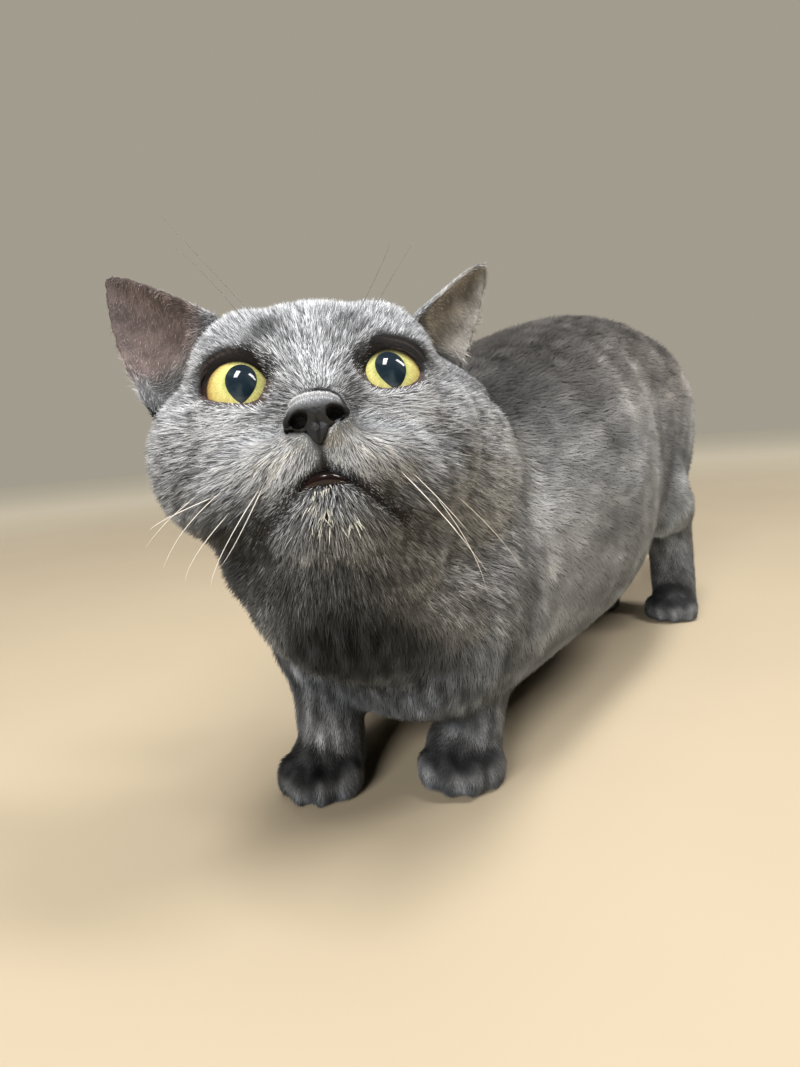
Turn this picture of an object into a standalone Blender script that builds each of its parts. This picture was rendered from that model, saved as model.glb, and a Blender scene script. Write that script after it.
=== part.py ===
"""A heavy blue-grey short-haired cat, life size, standing low on four paws with its head turned and raised.

The row frame: the floor is z = 0, the trunk runs along Y with the chest towards -Y, and +X is the cat's left.
Soft masses are laid down like clay, fused and smoothed, and then parted into the nodes by thin cuts.
"""
from math import radians

import bmesh
import bpy
import numpy as np
from mathutils import Matrix, Vector

# Driving dimensions, in metres
GAP = 0.0003               # clear space between touching nodes
HEAD_WIDTH = 0.108         # across the cheeks, with fur
PUPIL_DISTANCE = 0.041
EYE_RADIUS = 0.0109
LID_THICKNESS = 0.0015
EAR_THICKNESS = 0.0018
WHEELBASE = 0.295          # fore paws to hind paws
PAW_WIDTH = 0.037
PAW_LENGTH = 0.048
WRIST_HEIGHT = 0.026       # where the paws part from the legs
TAIL_RADIUS = 0.0155

# The head's place: the point midway between the eyeballs, then its turn, lift and lean
HEAD_AT = Vector((0.0355, -0.2060, 0.1550))
HEAD_TURN = 44
HEAD_LIFT = 24
HEAD_LEAN = -1.5

h = HEAD_WIDTH / 108       # a head unit, a millimetre on a head of this width
b = WHEELBASE / 295        # a body unit, a millimetre on a body of this length

COLLECTION = "short_haired_cat"
COAT = (0.172, 0.168, 0.165)
FACE_COAT = (0.235, 0.232, 0.228)
EAR_SKIN = (0.190, 0.160, 0.155)
NOSE_LEATHER = (0.048, 0.045, 0.047)
IRIS = (0.800, 0.640, 0.110)


def new_scene():
    for item in list(bpy.data.objects):
        bpy.data.objects.remove(item, do_unlink=True)
    for name in (COLLECTION, "cutters"):
        collection = bpy.data.collections.new(name)
        bpy.context.scene.collection.children.link(collection)


def material(name, colour, roughness, metallic=0.0):
    made = bpy.data.materials.get(name)
    if made is None:
        made = bpy.data.materials.new(name)
        made.use_nodes = True
        shader = made.node_tree.nodes["Principled BSDF"]
        shader.inputs["Base Color"].default_value = (*colour, 1)
        shader.inputs["Roughness"].default_value = roughness
        shader.inputs["Metallic"].default_value = metallic
        made.diffuse_color = (*colour, 1)
    return made


def add_object(name, mesh, collection=COLLECTION):
    item = bpy.data.objects.new(name, mesh)
    bpy.data.collections[collection].objects.link(item)
    if collection == "cutters":
        item.hide_render = True
        item.display_type = "WIRE"
    return item


def evaluated(item):
    """The object's mesh with its modifiers applied; the object itself is then removed."""
    depsgraph = bpy.context.evaluated_depsgraph_get()
    depsgraph.update()
    mesh = bpy.data.meshes.new_from_object(item.evaluated_get(depsgraph))
    bpy.data.objects.remove(item, do_unlink=True)
    return mesh


def turned(about_x=0, about_y=0, about_z=0):
    """A rotation by degrees about X, then Y, then Z."""
    first = Matrix.Rotation(radians(about_x), 4, "X")
    second = Matrix.Rotation(radians(about_y), 4, "Y")
    third = Matrix.Rotation(radians(about_z), 4, "Z")
    return third @ second @ first


def at(*place):
    return Matrix.Translation(place)


def shaped(make, matrix):
    """A mesh made by one of bmesh's primitives, moved by a matrix."""
    bm = bmesh.new()
    make(bm)
    mesh = bpy.data.meshes.new("mass")
    bm.to_mesh(mesh)
    bm.free()
    mesh.transform(matrix)
    return mesh


def ellipsoid(centre, radii, turn=(0, 0, 0), rings=14, sides=20):
    def sphere(bm):
        bmesh.ops.create_uvsphere(bm, u_segments=sides, v_segments=rings, radius=1)
    return shaped(sphere, at(*centre) @ turned(*turn) @ Matrix.Diagonal((*radii, 1)))


def box(matrix, size):
    def cube(bm):
        bmesh.ops.create_cube(bm, size=1)
    return shaped(cube, matrix @ Matrix.Diagonal((*size, 1)))


def pointing_out(mesh):
    bm = bmesh.new()
    bm.from_mesh(mesh)
    bmesh.ops.recalc_face_normals(bm, faces=bm.faces)
    bm.to_mesh(mesh)
    bm.free()
    return mesh


def loft(rings):
    """A closed skin through rings of equal point counts, with a fan over each end."""
    rings = np.asarray(rings, dtype=float)
    count, sides = rings.shape[:2]
    points = np.concatenate([rings.reshape(-1, 3), rings[0].mean(0)[None], rings[-1].mean(0)[None]])
    row = np.arange(sides)
    after = (row + 1) % sides
    faces = []
    for low in range(0, (count - 1) * sides, sides):
        faces += np.stack([low + row, low + after, low + sides + after, low + sides + row], 1).tolist()
    last, tip = (count - 1) * sides, count * sides
    faces += np.stack([after, row, np.full(sides, tip)], 1).tolist()
    faces += np.stack([last + row, last + after, np.full(sides, tip + 1)], 1).tolist()
    mesh = bpy.data.meshes.new("loft")
    mesh.from_pydata(points.tolist(), [], faces)
    return pointing_out(mesh)


def limb(stations, sides=16):
    """A limb along a path of (x, y, z, radius) stations, with round ends."""
    stations = np.array(stations, dtype=float)
    steps = np.linspace(0, len(stations) - 1, 6 * (len(stations) - 1) + 1)
    line = np.stack([np.interp(steps, np.arange(len(stations)), column) for column in stations.T], 1)
    for _ in range(4):
        line[1:-1] = (line[:-2] + 2 * line[1:-1] + line[2:]) / 4
    ends = []
    for end, inner in ((line[0], line[1]), (line[-1], line[-2])):
        away = (end[:3] - inner[:3]) / np.linalg.norm(end[:3] - inner[:3])
        rise = np.sin(np.radians([80, 55, 28]))[:, None]
        ends.append(np.hstack([end[:3] + away * end[3] * rise, end[3] * np.sqrt(1 - rise ** 2)]))
    line = np.concatenate([ends[0], line, ends[1][::-1]])
    along = np.gradient(line[:, :3], axis=0)
    side = np.cross(along, (0.90, 0.10, 0.42))
    side /= np.linalg.norm(side, axis=1)[:, None]
    other = np.cross(along, side)
    other /= np.linalg.norm(other, axis=1)[:, None]
    angle = np.linspace(0, 2 * np.pi, sides, endpoint=False)[None, :, None]
    ring = np.cos(angle) * side[:, None] + np.sin(angle) * other[:, None]
    return loft(line[:, None, :3] + line[:, None, 3:] * ring)


def joined(meshes):
    bm = bmesh.new()
    for mesh in meshes:
        bm.from_mesh(mesh)
        bpy.data.meshes.remove(mesh)
    mesh = bpy.data.meshes.new("clay")
    bm.to_mesh(mesh)
    bm.free()
    return mesh


def clay(masses, voxel, smoothing, triangles):
    """Fuses closed masses into one smooth closed mesh of about the given number of triangles."""
    item = add_object("clay", joined(masses), "cutters")
    fuse = item.modifiers.new("fuse", "REMESH")
    fuse.mode = "VOXEL"
    fuse.voxel_size = voxel
    soften = item.modifiers.new("soften", "SMOOTH")
    soften.factor = 0.5
    soften.iterations = smoothing
    fused = evaluated(item)
    count = sum(len(face.vertices) - 2 for face in fused.polygons)
    item = add_object("clay", fused, "cutters")
    thin = item.modifiers.new("thin", "DECIMATE")
    thin.ratio = min(1.0, triangles / count)
    thin.use_collapse_triangulate = True
    return largest_body(evaluated(item))


def surfaces(bm):
    """The separate closed surfaces of a bmesh, each as its list of vertices."""
    left, found = set(bm.verts), []
    while left:
        stack, group = [left.pop()], []
        while stack:
            vert = stack.pop()
            group.append(vert)
            near = {edge.other_vert(vert) for edge in vert.link_edges} & left
            left -= near
            stack += near
        found.append(group)
    return found


def largest_body(mesh):
    """Keeps the largest closed surface of a mesh."""
    def extent(group):
        return float(np.prod(np.ptp([vert.co for vert in group], axis=0) + 1e-9))
    bm = bmesh.new()
    bm.from_mesh(mesh)
    bmesh.ops.remove_doubles(bm, verts=bm.verts, dist=1e-6)
    groups = sorted(surfaces(bm), key=extent)
    bmesh.ops.delete(bm, geom=[vert for group in groups[:-1] for vert in group], context="VERTS")
    bm.to_mesh(mesh)
    bm.free()
    return mesh


def boolean(mesh, cutter, operation):
    """Joins, cuts or crops a mesh by a cutter, which is used up."""
    item = add_object("work", mesh, "cutters")
    tool = add_object("tool", cutter, "cutters")
    step = item.modifiers.new("cut", "BOOLEAN")
    step.operation = operation
    step.solver = "EXACT"
    step.object = tool
    result = evaluated(item)
    bpy.data.objects.remove(tool, do_unlink=True)
    return result


def part_off(mesh, matrix, size, shape=None):
    """Parts a mesh by a box or an ellipsoid: the piece inside it, and the rest, kept a gap clear."""
    shape = shape or box
    wider = [side + 2 * GAP for side in size]
    piece = boolean(mesh.copy(), shape(matrix, size), "INTERSECT")
    rest = boolean(mesh, shape(matrix, wider), "DIFFERENCE")
    return largest_body(piece), largest_body(rest)


def egg(matrix, size):
    """An ellipsoid that fills a box of the given size."""
    mesh = ellipsoid((0, 0, 0), [side / 2 for side in size], rings=9, sides=14)
    mesh.transform(matrix)
    return mesh


def grown(mesh, distance=1.2 * GAP):
    """A copy of a mesh, swollen along its normals."""
    item = add_object("grown", mesh.copy(), "cutters")
    swell = item.modifiers.new("swell", "DISPLACE")
    swell.strength = distance
    swell.mid_level = 0
    return evaluated(item)


def node(name, mesh, finish):
    mesh.name = name
    mesh.materials.clear()
    mesh.materials.append(finish)
    mesh.shade_smooth()
    mesh.set_sharp_from_angle(angle=radians(50))
    return add_object(name, mesh)


def head_matrix():
    return at(*HEAD_AT) @ turned(about_z=HEAD_TURN) @ turned(about_x=-HEAD_LIFT) @ turned(about_y=HEAD_LEAN)


def in_head(x, y, z):
    """A point given in head units, in the row frame."""
    return head_matrix() @ Vector((x * h, y * h, z * h))


# The trunk's stations, in body units: along, side shift, back height, belly height, half width
TRUNK = [
    (-170, 12, 108, 54, 18), (-160, 11, 134, 35, 34), (-142, 8, 156, 29, 48), (-112, 3, 170, 28, 58),
    (-75, -3, 179, 27, 63), (-35, -7, 189, 27, 66), (5, -8, 200, 29, 67), (45, -7, 208, 34, 61),
    (80, -5, 211, 46, 51), (115, -2, 210, 64, 46), (148, 0, 204, 86, 43), (174, 0, 188, 104, 34),
    (190, 0, 168, 124, 19)]
FORE_PAWS = {"right": (-24.0, -158.5), "left": (21.2, -124.7)}
HIND_PAWS = {"right": (-29.0, 156.0), "left": (29.8, 147.5)}
PAW_TURN = {"right": 22, "left": 32}
SIDES = (("right", -1), ("left", 1))
EAR_TIPS = {-1: (67.5, 34.5, 70.5), 1: (67.0, 33.0, 63.5)}
EAR_SWIVEL = {-1: 0, 1: 33}         # how far each ear is turned outward about its own length
EAR_FRONT_FOLD = {-1: 0, 1: 3.5}    # how much of the half width is folded back along the front rim


def trunk():
    """Sections from the chest to the rump: round above, and full and square below."""
    angle = np.linspace(0, 2 * np.pi, 32, endpoint=False)
    below = np.sin(angle) < 0
    power = np.where(below, 0.72, 0.95)
    across = np.sign(np.cos(angle)) * np.abs(np.cos(angle)) ** power
    upward = np.sign(np.sin(angle)) * np.abs(np.sin(angle)) ** power
    rings = []
    for along, shift, top, low, half in np.array(TRUNK, dtype=float) * b:
        width = half * (1 - 0.08 * np.maximum(upward, 0))
        z = (top + low) / 2 + (top - low) / 2 * upward
        rings.append(np.stack([shift + width * across, np.full_like(z, along), z], 1))
    return loft(rings)


def foreleg(side, out):
    """Shoulder, upper arm and forearm down to the wrist."""
    x, y = FORE_PAWS[side]
    middle = ((x + out * 13) * b, (y + 26) * b, 108 * b)
    shoulder = ellipsoid(middle, (20 * b, 31 * b, 46 * b), (14, out * 6, 0))
    stations = [(x + out * 12, y + 20, 84, 23), (x + out * 9, y + 12, 60, 20),
                (x + 2 + out * 3, y + 5, 40, 15.5), (x + 2, y + 3, 12, 14)]
    return [shoulder, limb(np.array(stations) * b)]


def hindleg(side, out):
    """Thigh, shank and the upright heel bone down to the paw."""
    x, y = HIND_PAWS[side]
    hock = (x - out * 9, y + 22, 64, 17.5)
    thigh = ellipsoid(((x - out * 6) * b, (y + 2) * b, 124 * b), (20 * b, 43 * b, 60 * b), (-14, out * 4, 0))
    knee = ellipsoid(((x + out * 2) * b, (y - 30) * b, 92 * b), (18 * b, 27 * b, 32 * b), (-22, 0, 0))
    shank = limb(np.array([(x + out, y - 22, 84, 22), (x - out * 4, y + 4, 76, 19), hock]) * b)
    heel = limb(np.array([hock, (x - out * 5, y + 15, 42, 17), (x - out, y + 7, 12, 15)]) * b)
    return [thigh, knee, shank, heel]


def tail_point(t):
    """The tail's line: down behind the rump and out, its last third lifting clear of the floor."""
    return Vector((-44 * t ** 1.6, 168 + 150 * t ** 1.05, 178 - 268 * t + 156 * t ** 2.4)) * b


def tail():
    steps = np.linspace(0, 1, 14)
    return limb([(*tail_point(t), TAIL_RADIUS * (1.12 - 0.42 * t ** 2)) for t in steps])


def neck():
    """From the back of the skull and from the throat down to the shoulders."""
    nape, throat, under = in_head(0, 34, 2), in_head(0, 22, -30), in_head(0, 50, -46)
    ruff = limb([(*in_head(out * 17, 31, -38), 18.5 * h) for out in (-1, 0, 1)])
    return [limb([(*nape, 36 * h), (24 * b, -160 * b, 134 * b, 41 * b), (9 * b, -122 * b, 118 * b, 46 * b)]),
            limb([(*throat, 29 * h), (*under, 33 * h), (15 * b, -138 * b, 84 * b, 40 * b)]), ruff]


def paw(side, places, turn):
    """A rounded block with four toes, in the row frame, reaching just below the floor."""
    width, length = PAW_WIDTH, PAW_LENGTH
    masses = [ellipsoid((0, 0.06 * length, 0.30 * width), (0.42 * width, 0.42 * length, 0.42 * width)),
              ellipsoid((0, 0.14 * length, 0.14 * width), (0.36 * width, 0.36 * length, 0.30 * width))]
    for across, ahead in ((-0.345, -0.20), (-0.125, -0.32), (0.125, -0.32), (0.345, -0.20)):
        masses.append(ellipsoid((across * width, ahead * length, 0.20 * width),
                                (0.150 * width, 0.200 * length, 0.240 * width), (10, 0, -50 * across)))
    x, y = places[side]
    for mass in masses:
        mass.transform(at(x * b, y * b, 0) @ turned(about_z=turn))
    return masses


def head_masses():
    """The skull and face: the nose towards -Y, and the eyeballs on the X axis."""
    masses = [ellipsoid((0, 26, 3), (44, 42, 35)), ellipsoid((0, 11, 8), (33, 21, 27)),
              ellipsoid((0, 7, -20), (34, 19, 18)), ellipsoid((0, -1, -23), (23, 17, 13)),
              ellipsoid((0, 28, -30), (31, 30, 24)),
              limb([(0, 4, 16, 12), (0, -7, 2, 10.5), (0, -13.5, -10, 8.5)])]
    for _, out in SIDES:
        masses += [ellipsoid((out * 18, 20, 14), (22, 25, 24)),
                   ellipsoid((out * 30 - 1, 21, -9), (21.5, 24, 25)),
                   ellipsoid((out * 20, 12, -26), (21, 21, 14)),
                   ellipsoid((out * 20, 3, -23), (15, 13, 13)),
                   ellipsoid((out * 12, -5.5, -24.5), (12.5, 12.5, 9)),
                   ellipsoid((out * 8, -11.0, -24.5), (9, 9.5, 7.5)),
                   ellipsoid((out * 20, 0.5, -8.5), (15, 11.5, 8)),
                   ellipsoid((out * 20, 3, 11), (16, 11.5, 8))]
    masses += [ellipsoid((0, -4, -36.5), (12.5, 12.5, 9)), ellipsoid((0, 6, -38), (20, 18, 12))]
    for mass in masses:
        mass.transform(Matrix.Scale(h, 4))
    return masses


def eyeball(out, radius):
    return ellipsoid((out * PUPIL_DISTANCE / 2, 0, 0), (radius,) * 3, rings=10, sides=18)


def fissure(out):
    """The almond opening between the lids, as a prism along the line of sight."""
    angle = np.linspace(0, 2 * np.pi, 24, endpoint=False)
    rise = np.where(np.sin(angle) > 0, 7.0, 5.2) * np.sin(angle)
    across = out * (20.8 + 9.9 * np.cos(angle)) + 0 * rise
    tilt = 0.06 * (np.abs(across) - 20.8)
    rings = [np.stack([across, np.full_like(rise, y), rise + 0.6 + tilt], 1) * h for y in (-26, 1)]
    return loft(rings)


def lip_line():
    """From one mouth corner over the front of the jaw to the other, in head units."""
    half = [(20, 2, -37.5), (15.5, -4, -35.6), (10, -10.5, -32.6), (4.5, -15.5, -30.2), (0, -17.5, -29.2)]
    return half + [(-x, y, z) for x, y, z in half[-2::-1]]


def jaw_region():
    """A gabled prism under the lip line."""
    outline = [(0, -29.4), (10, -33.3), (20, -38.0), (22, -70), (-22, -70), (-20, -38.0), (-10, -33.3)]
    return [[(x * h, y * h, z * h) for x, z in outline] for y in (-34, 3)]


def philtrum():
    return limb([(0, -22.5, -24, 0.9), (0, -22.5, -27, 1.0), (0, -21, -30, 1.1)])


def scaled(mesh):
    mesh.transform(Matrix.Scale(h, 4))
    return mesh


def nose_pad():
    """The leather alone, without its openings: the head is cut clear of this shape."""
    masses = [ellipsoid((0, -20.5, -17.0), (7.6, 4.4, 4.4)), ellipsoid((0, -19.6, -21.6), (4.0, 4.2, 4.6)),
              ellipsoid((0, -18.8, -13.8), (6.8, 4.2, 3.4))]
    for _, out in SIDES:
        masses.append(ellipsoid((out * 5.2, -19.8, -18.6), (3.4, 3.8, 3.4)))
    return clay([scaled(mass) for mass in masses], 0.0006, 4, 420)


def nose(leather):
    """The nose leather with its two nostrils, each with the slit that runs out from it."""
    for _, out in SIDES:
        hole = ellipsoid((out * 4.1, -24.2, -19.0), (1.7, 3.2, 1.35), (0, 0, out * 20), 8, 10)
        slit = ellipsoid((out * 7.4, -21.6, -17.8), (2.6, 1.8, 0.6), (0, out * -22, 0), 6, 10)
        leather = boolean(leather, scaled(hole), "DIFFERENCE")
        leather = boolean(leather, scaled(slit), "DIFFERENCE")
    return largest_body(leather)


def ear_shell(out):
    """A cupped leaf: its rim opens forward and outward, its back bulges towards the nape."""
    up, across = np.meshgrid(np.linspace(-0.30, 1, 12), np.linspace(-1, 1, 11), indexing="ij")
    swivel = radians(EAR_SWIVEL[out])
    outward = np.array((0.70, 0.34, -0.63)) * np.cos(swivel) + np.array((-0.42, 0.90, 0.10)) * np.sin(swivel)
    backward = np.array((-0.42, 0.90, 0.10)) * np.cos(swivel) - np.array((0.70, 0.34, -0.63)) * np.sin(swivel)
    fold = EAR_FRONT_FOLD[out]
    base, tip = np.array((41.5, 24, 27.5)) + fold * outward, np.array(EAR_TIPS[out])
    bend = np.array((2.5, 0, 2.0)) * np.sin(np.pi * np.clip(up, 0, 1))[..., None]
    middle = base + (tip - base) * up[..., None] + bend
    half = (18.0 - fold) * np.clip(1 - up, 0, 1.12) ** 0.86 + 1.6
    cup = 13.0 * np.clip(1 - up, 0, 1.2) ** 0.9 * (1 - across ** 2) ** 0.75
    points = middle + (half * across)[..., None] * outward + cup[..., None] * backward
    points[..., 0] *= out
    rows, columns = up.shape
    index = np.arange(rows * columns).reshape(rows, columns)
    quads = np.stack([index[:-1, :-1], index[:-1, 1:], index[1:, 1:], index[1:, :-1]], -1).reshape(-1, 4)
    mesh = bpy.data.meshes.new("ear")
    mesh.from_pydata((points.reshape(-1, 3) * h).tolist(), [], quads.tolist())
    item = add_object("ear", mesh, "cutters")
    wall = item.modifiers.new("wall", "SOLIDIFY")
    wall.thickness = EAR_THICKNESS
    wall.offset = 0
    return pointing_out(evaluated(item))


def head_plane():
    """The box in front of the cut between head and neck, which leans from the nape to the throat."""
    reach = 0.200
    return head_matrix() @ at(0, 31 * h, -12 * h) @ turned(about_x=-20) @ at(0, -reach / 2, 0), (reach,) * 3


def build_head():
    """The head with its ears, nose, lower jaw and eyes."""
    neck_stub = neck()
    for mass in neck_stub:
        mass.transform(head_matrix().inverted())
    head = clay(head_masses() + neck_stub, 0.0013, 12, 2350)
    matrix, size = head_plane()
    head = boolean(head, box(head_matrix().inverted() @ matrix, size), "INTERSECT")
    for _, out in SIDES:
        head = boolean(head, eyeball(out, EYE_RADIUS + GAP + LID_THICKNESS), "UNION")
        head = boolean(head, fissure(out), "DIFFERENCE")
        head = boolean(head, eyeball(out, EYE_RADIUS + GAP), "DIFFERENCE")
    head = boolean(head, scaled(limb([(*point, 1.1) for point in lip_line()], sides=8)), "DIFFERENCE")
    head = boolean(head, scaled(philtrum()), "DIFFERENCE")
    pad = nose_pad()
    head = boolean(head, grown(pad), "DIFFERENCE")
    region = jaw_region()
    jaw = boolean(head.copy(), loft(region), "INTERSECT")
    head = largest_body(boolean(head, grown(loft(region)), "DIFFERENCE"))
    around = grown(head)
    pieces = {"head": head, "lower_jaw": largest_body(jaw)}
    pieces["nose"] = nose(pad)
    for side, out in SIDES:
        pieces["ear_" + side] = largest_body(boolean(ear_shell(out), around.copy(), "DIFFERENCE"))
        pieces["eye_" + side] = eyeball(out, EYE_RADIUS)
    leather = material("nose_leather", NOSE_LEATHER, 0.45)
    ear_skin = material("ear_skin", EAR_SKIN, 0.75)
    iris = material("iris", IRIS, 0.05)
    face = material("face_coat", FACE_COAT, 0.85)
    finishes = {"nose": leather, "ear_left": ear_skin, "ear_right": ear_skin,
                "eye_left": iris, "eye_right": iris}
    for name, mesh in pieces.items():
        mesh.transform(head_matrix())
        node(name, mesh, finishes.get(name, face))


def build_paws(coat):
    for side, out in SIDES:
        for name, places, legs, turn in (("forepaw_", FORE_PAWS, foreleg, PAW_TURN[side]),
                                         ("hind_paw_", HIND_PAWS, hindleg, 4)):
            x, y = places[side]
            solid = clay(paw(side, places, turn) + legs(side, out), 0.0014, 3, 1250)
            region = box(at(x * b, y * b, WRIST_HEIGHT / 2), (0.060, 0.080, WRIST_HEIGHT))
            solid = largest_body(boolean(solid, region, "INTERSECT"))
            node(name + side, solid, coat)


def body_clay():
    """The whole animal but its toes, ears and face details, in one smooth piece."""
    masses = [trunk(), tail(), *neck()]
    for side, out in SIDES:
        masses += foreleg(side, out) + hindleg(side, out)
    masses.append(ellipsoid((7 * b, -128 * b, 86 * b), (50 * b, 41 * b, 58 * b), (0, 0, 28)))
    masses.append(ellipsoid((-6 * b, -146 * b, 74 * b), (42 * b, 28 * b, 33 * b), (0, 0, 20)))
    masses.append(ellipsoid((-22 * b, -152 * b, 63 * b), (27 * b, 23 * b, 25 * b), (0, 0, 20)))
    masses.append(ellipsoid((0, 146 * b, 158 * b), (42 * b, 42 * b, 46 * b)))
    for mass in head_masses():
        mass.transform(head_matrix())
        masses.append(mass)
    return clay(masses, 0.0028, 8, 3900)


def part_legs(body, pieces):
    """Parts the legs: thigh and upper arm along round seams, the lower lengths level."""
    for side, out in SIDES:
        x, y = FORE_PAWS[side]
        _, body = part_off(body, at(x * b, y * b, 0), (60 * b, 80 * b, 2 * WRIST_HEIGHT))
        elbow = 50
        low = at((x + out * 9) * b, (y + 10) * b, elbow / 2 * b)
        pieces["forearm_" + side], body = part_off(body, low, (57 * b, 56 * b, elbow * b))
        shoulder = at((x + out * 22) * b, (y + 26) * b, 104 * b) @ turned(14, out * 8, 0)
        pieces["upper_arm_" + side], body = part_off(body, shoulder, (66 * b, 78 * b, 104 * b), egg)
        x, y = HIND_PAWS[side]
        _, body = part_off(body, at(x * b, y * b, 0), (60 * b, 80 * b, 2 * WRIST_HEIGHT))
        hock = 78
        low = at((x - out * 4) * b, (y + 10) * b, hock / 2 * b)
        pieces["shank_" + side], body = part_off(body, low, (52 * b, 72 * b, hock * b))
        haunch = at((x + out * 6) * b, (y - 6) * b, 122 * b) @ turned(-14, 0, 0)
        pieces["thigh_" + side], body = part_off(body, haunch, (62 * b, 104 * b, 130 * b), egg)
    return body


def part_tail(body, pieces):
    """Parts the tail into three lengths, square to its line, from the tip in."""
    reach = 120 * b
    for name, t in (("tail_tip", 0.72), ("tail_middle", 0.44), ("tail_base", 0.16)):
        start, ahead = tail_point(t), (tail_point(t + 0.01) - tail_point(t - 0.01)).normalized()
        square = ahead.to_track_quat("Z", "Y").to_matrix().to_4x4()
        region = at(*start) @ square @ at(0, 0, reach / 2)
        pieces[name], body = part_off(body, region, (58 * b, 58 * b, reach))
    return body


def part_trunk(body, pieces):
    """Parts the neck from the shoulders, and the trunk into chest, belly and hips."""
    reach = 200 * b
    slope = at(14 * b, -150 * b, 132 * b) @ turned(-50) @ turned(about_y=-12)
    pieces["neck"], body = part_off(body, slope @ at(0, -reach / 2, 0), (reach, reach, reach))
    pieces["hips"], body = part_off(body, at(0, 84 * b + reach / 2, 120 * b), (reach, reach, reach))
    pieces["belly"], body = part_off(body, at(0, -42 * b + reach / 2, 120 * b), (reach, reach, reach))
    pieces["chest"] = body


def build_body(coat):
    pieces = {}
    _, body = part_off(body_clay(), *head_plane())
    body = part_legs(body, pieces)
    body = part_tail(body, pieces)
    part_trunk(body, pieces)
    for name, mesh in pieces.items():
        node(name, mesh, coat)


def settle_on_origin():
    """Shifts every node so that the middle of the whole box stands over the origin."""
    nodes = list(bpy.data.collections[COLLECTION].objects)
    corners = np.array([vert.co for item in nodes for vert in item.data.vertices])
    low, high = corners.min(0), corners.max(0)
    shift = Matrix.Translation((-(low[0] + high[0]) / 2, -(low[1] + high[1]) / 2, -low[2]))
    for item in nodes:
        item.data.transform(shift)


new_scene()
coat_finish = material("coat", COAT, 0.85)
build_head()
build_paws(coat_finish)
build_body(coat_finish)
settle_on_origin()
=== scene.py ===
from math import radians

import bmesh
import bpy
import numpy as np
from mathutils import Matrix, Vector


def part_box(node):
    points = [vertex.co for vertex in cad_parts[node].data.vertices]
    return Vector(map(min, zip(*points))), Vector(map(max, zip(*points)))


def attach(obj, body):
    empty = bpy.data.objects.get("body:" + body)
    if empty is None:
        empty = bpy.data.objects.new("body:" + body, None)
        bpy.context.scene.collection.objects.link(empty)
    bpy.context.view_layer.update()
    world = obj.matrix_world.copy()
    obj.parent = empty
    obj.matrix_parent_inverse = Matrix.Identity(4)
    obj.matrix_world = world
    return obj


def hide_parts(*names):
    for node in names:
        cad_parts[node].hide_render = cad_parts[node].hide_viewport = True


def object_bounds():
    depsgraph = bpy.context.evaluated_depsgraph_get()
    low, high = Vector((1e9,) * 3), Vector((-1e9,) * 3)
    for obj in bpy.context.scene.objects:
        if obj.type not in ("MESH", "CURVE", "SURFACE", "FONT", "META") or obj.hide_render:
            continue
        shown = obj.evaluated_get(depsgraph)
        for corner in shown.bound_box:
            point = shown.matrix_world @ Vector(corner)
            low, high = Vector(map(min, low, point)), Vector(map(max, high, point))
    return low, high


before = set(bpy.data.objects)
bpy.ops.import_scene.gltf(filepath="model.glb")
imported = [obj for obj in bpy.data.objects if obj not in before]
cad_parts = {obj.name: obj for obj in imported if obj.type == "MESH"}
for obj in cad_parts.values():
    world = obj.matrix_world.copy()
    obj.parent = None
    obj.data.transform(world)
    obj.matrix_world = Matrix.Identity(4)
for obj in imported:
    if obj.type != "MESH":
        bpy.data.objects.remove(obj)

cadBox = [list(map(float, corner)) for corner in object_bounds()]
print("frame loaded:", len(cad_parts), "nodes")

# The head's own axes: the point midway between the eyeballs, x to the cat's left, y to the back, z up
headPose = {"turn": 44, "lift": 24, "lean": -1.5}
eyeBoxes = [[np.array(corner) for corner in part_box(name)] for name in ("eye_right", "eye_left")]
eyeCentres = [(low + high) / 2 for low, high in eyeBoxes]
eyeRadius = float((eyeBoxes[0][1] - eyeBoxes[0][0])[2]) / 2 * 1000
headAt = (eyeCentres[0] + eyeCentres[1]) / 2
pupilHalf = np.linalg.norm(eyeCentres[0] - eyeCentres[1]) / 2 * 1000
# The eyeballs that are seen lie a little to the cat's right of the solids'
eyeShift = -0.45
eyeMiddles = {-1: eyeShift - pupilHalf, 1: eyeShift + pupilHalf}
headAxes = np.array(Matrix.Rotation(radians(headPose["turn"]), 3, "Z")
                    @ Matrix.Rotation(radians(-headPose["lift"]), 3, "X")
                    @ Matrix.Rotation(radians(headPose["lean"]), 3, "Y"))


def toHead(points):
    # row frame in metres to the head's axes in millimetres
    return (points - headAt) @ headAxes * 1000


def fromHead(points):
    return headAt + np.asarray(points, dtype=float) @ headAxes.T / 1000


def smoothStep(value, low, high):
    # 0 below low, 1 above high, and 3t^2 - 2t^3 between them
    t = np.clip((value - low) / (high - low), 0, 1)
    return t * t * (3 - 2 * t)


def unit(vectors):
    return vectors / (np.linalg.norm(vectors, axis=-1, keepdims=True) + 1e-12)


def ripple(points, size, seed, waves=9):
    # a sum of sine waves of about the given size, each in its own random direction, about -1 to 1
    draw = np.random.default_rng(seed)
    ways = unit(draw.normal(size=(waves, 3))) * 2 * np.pi / (size * draw.uniform(0.6, 1.7, (waves, 1)))
    return np.sin(points @ ways.T + draw.uniform(0, 2 * np.pi, waves)).sum(1) / np.sqrt(waves)


def spot(points, centre, radii):
    # a soft round mark: exp(-distance^2) with the distance measured in its own radii
    return np.exp(-(((points - np.array(centre)) / np.array(radii)) ** 2).sum(-1))


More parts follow.
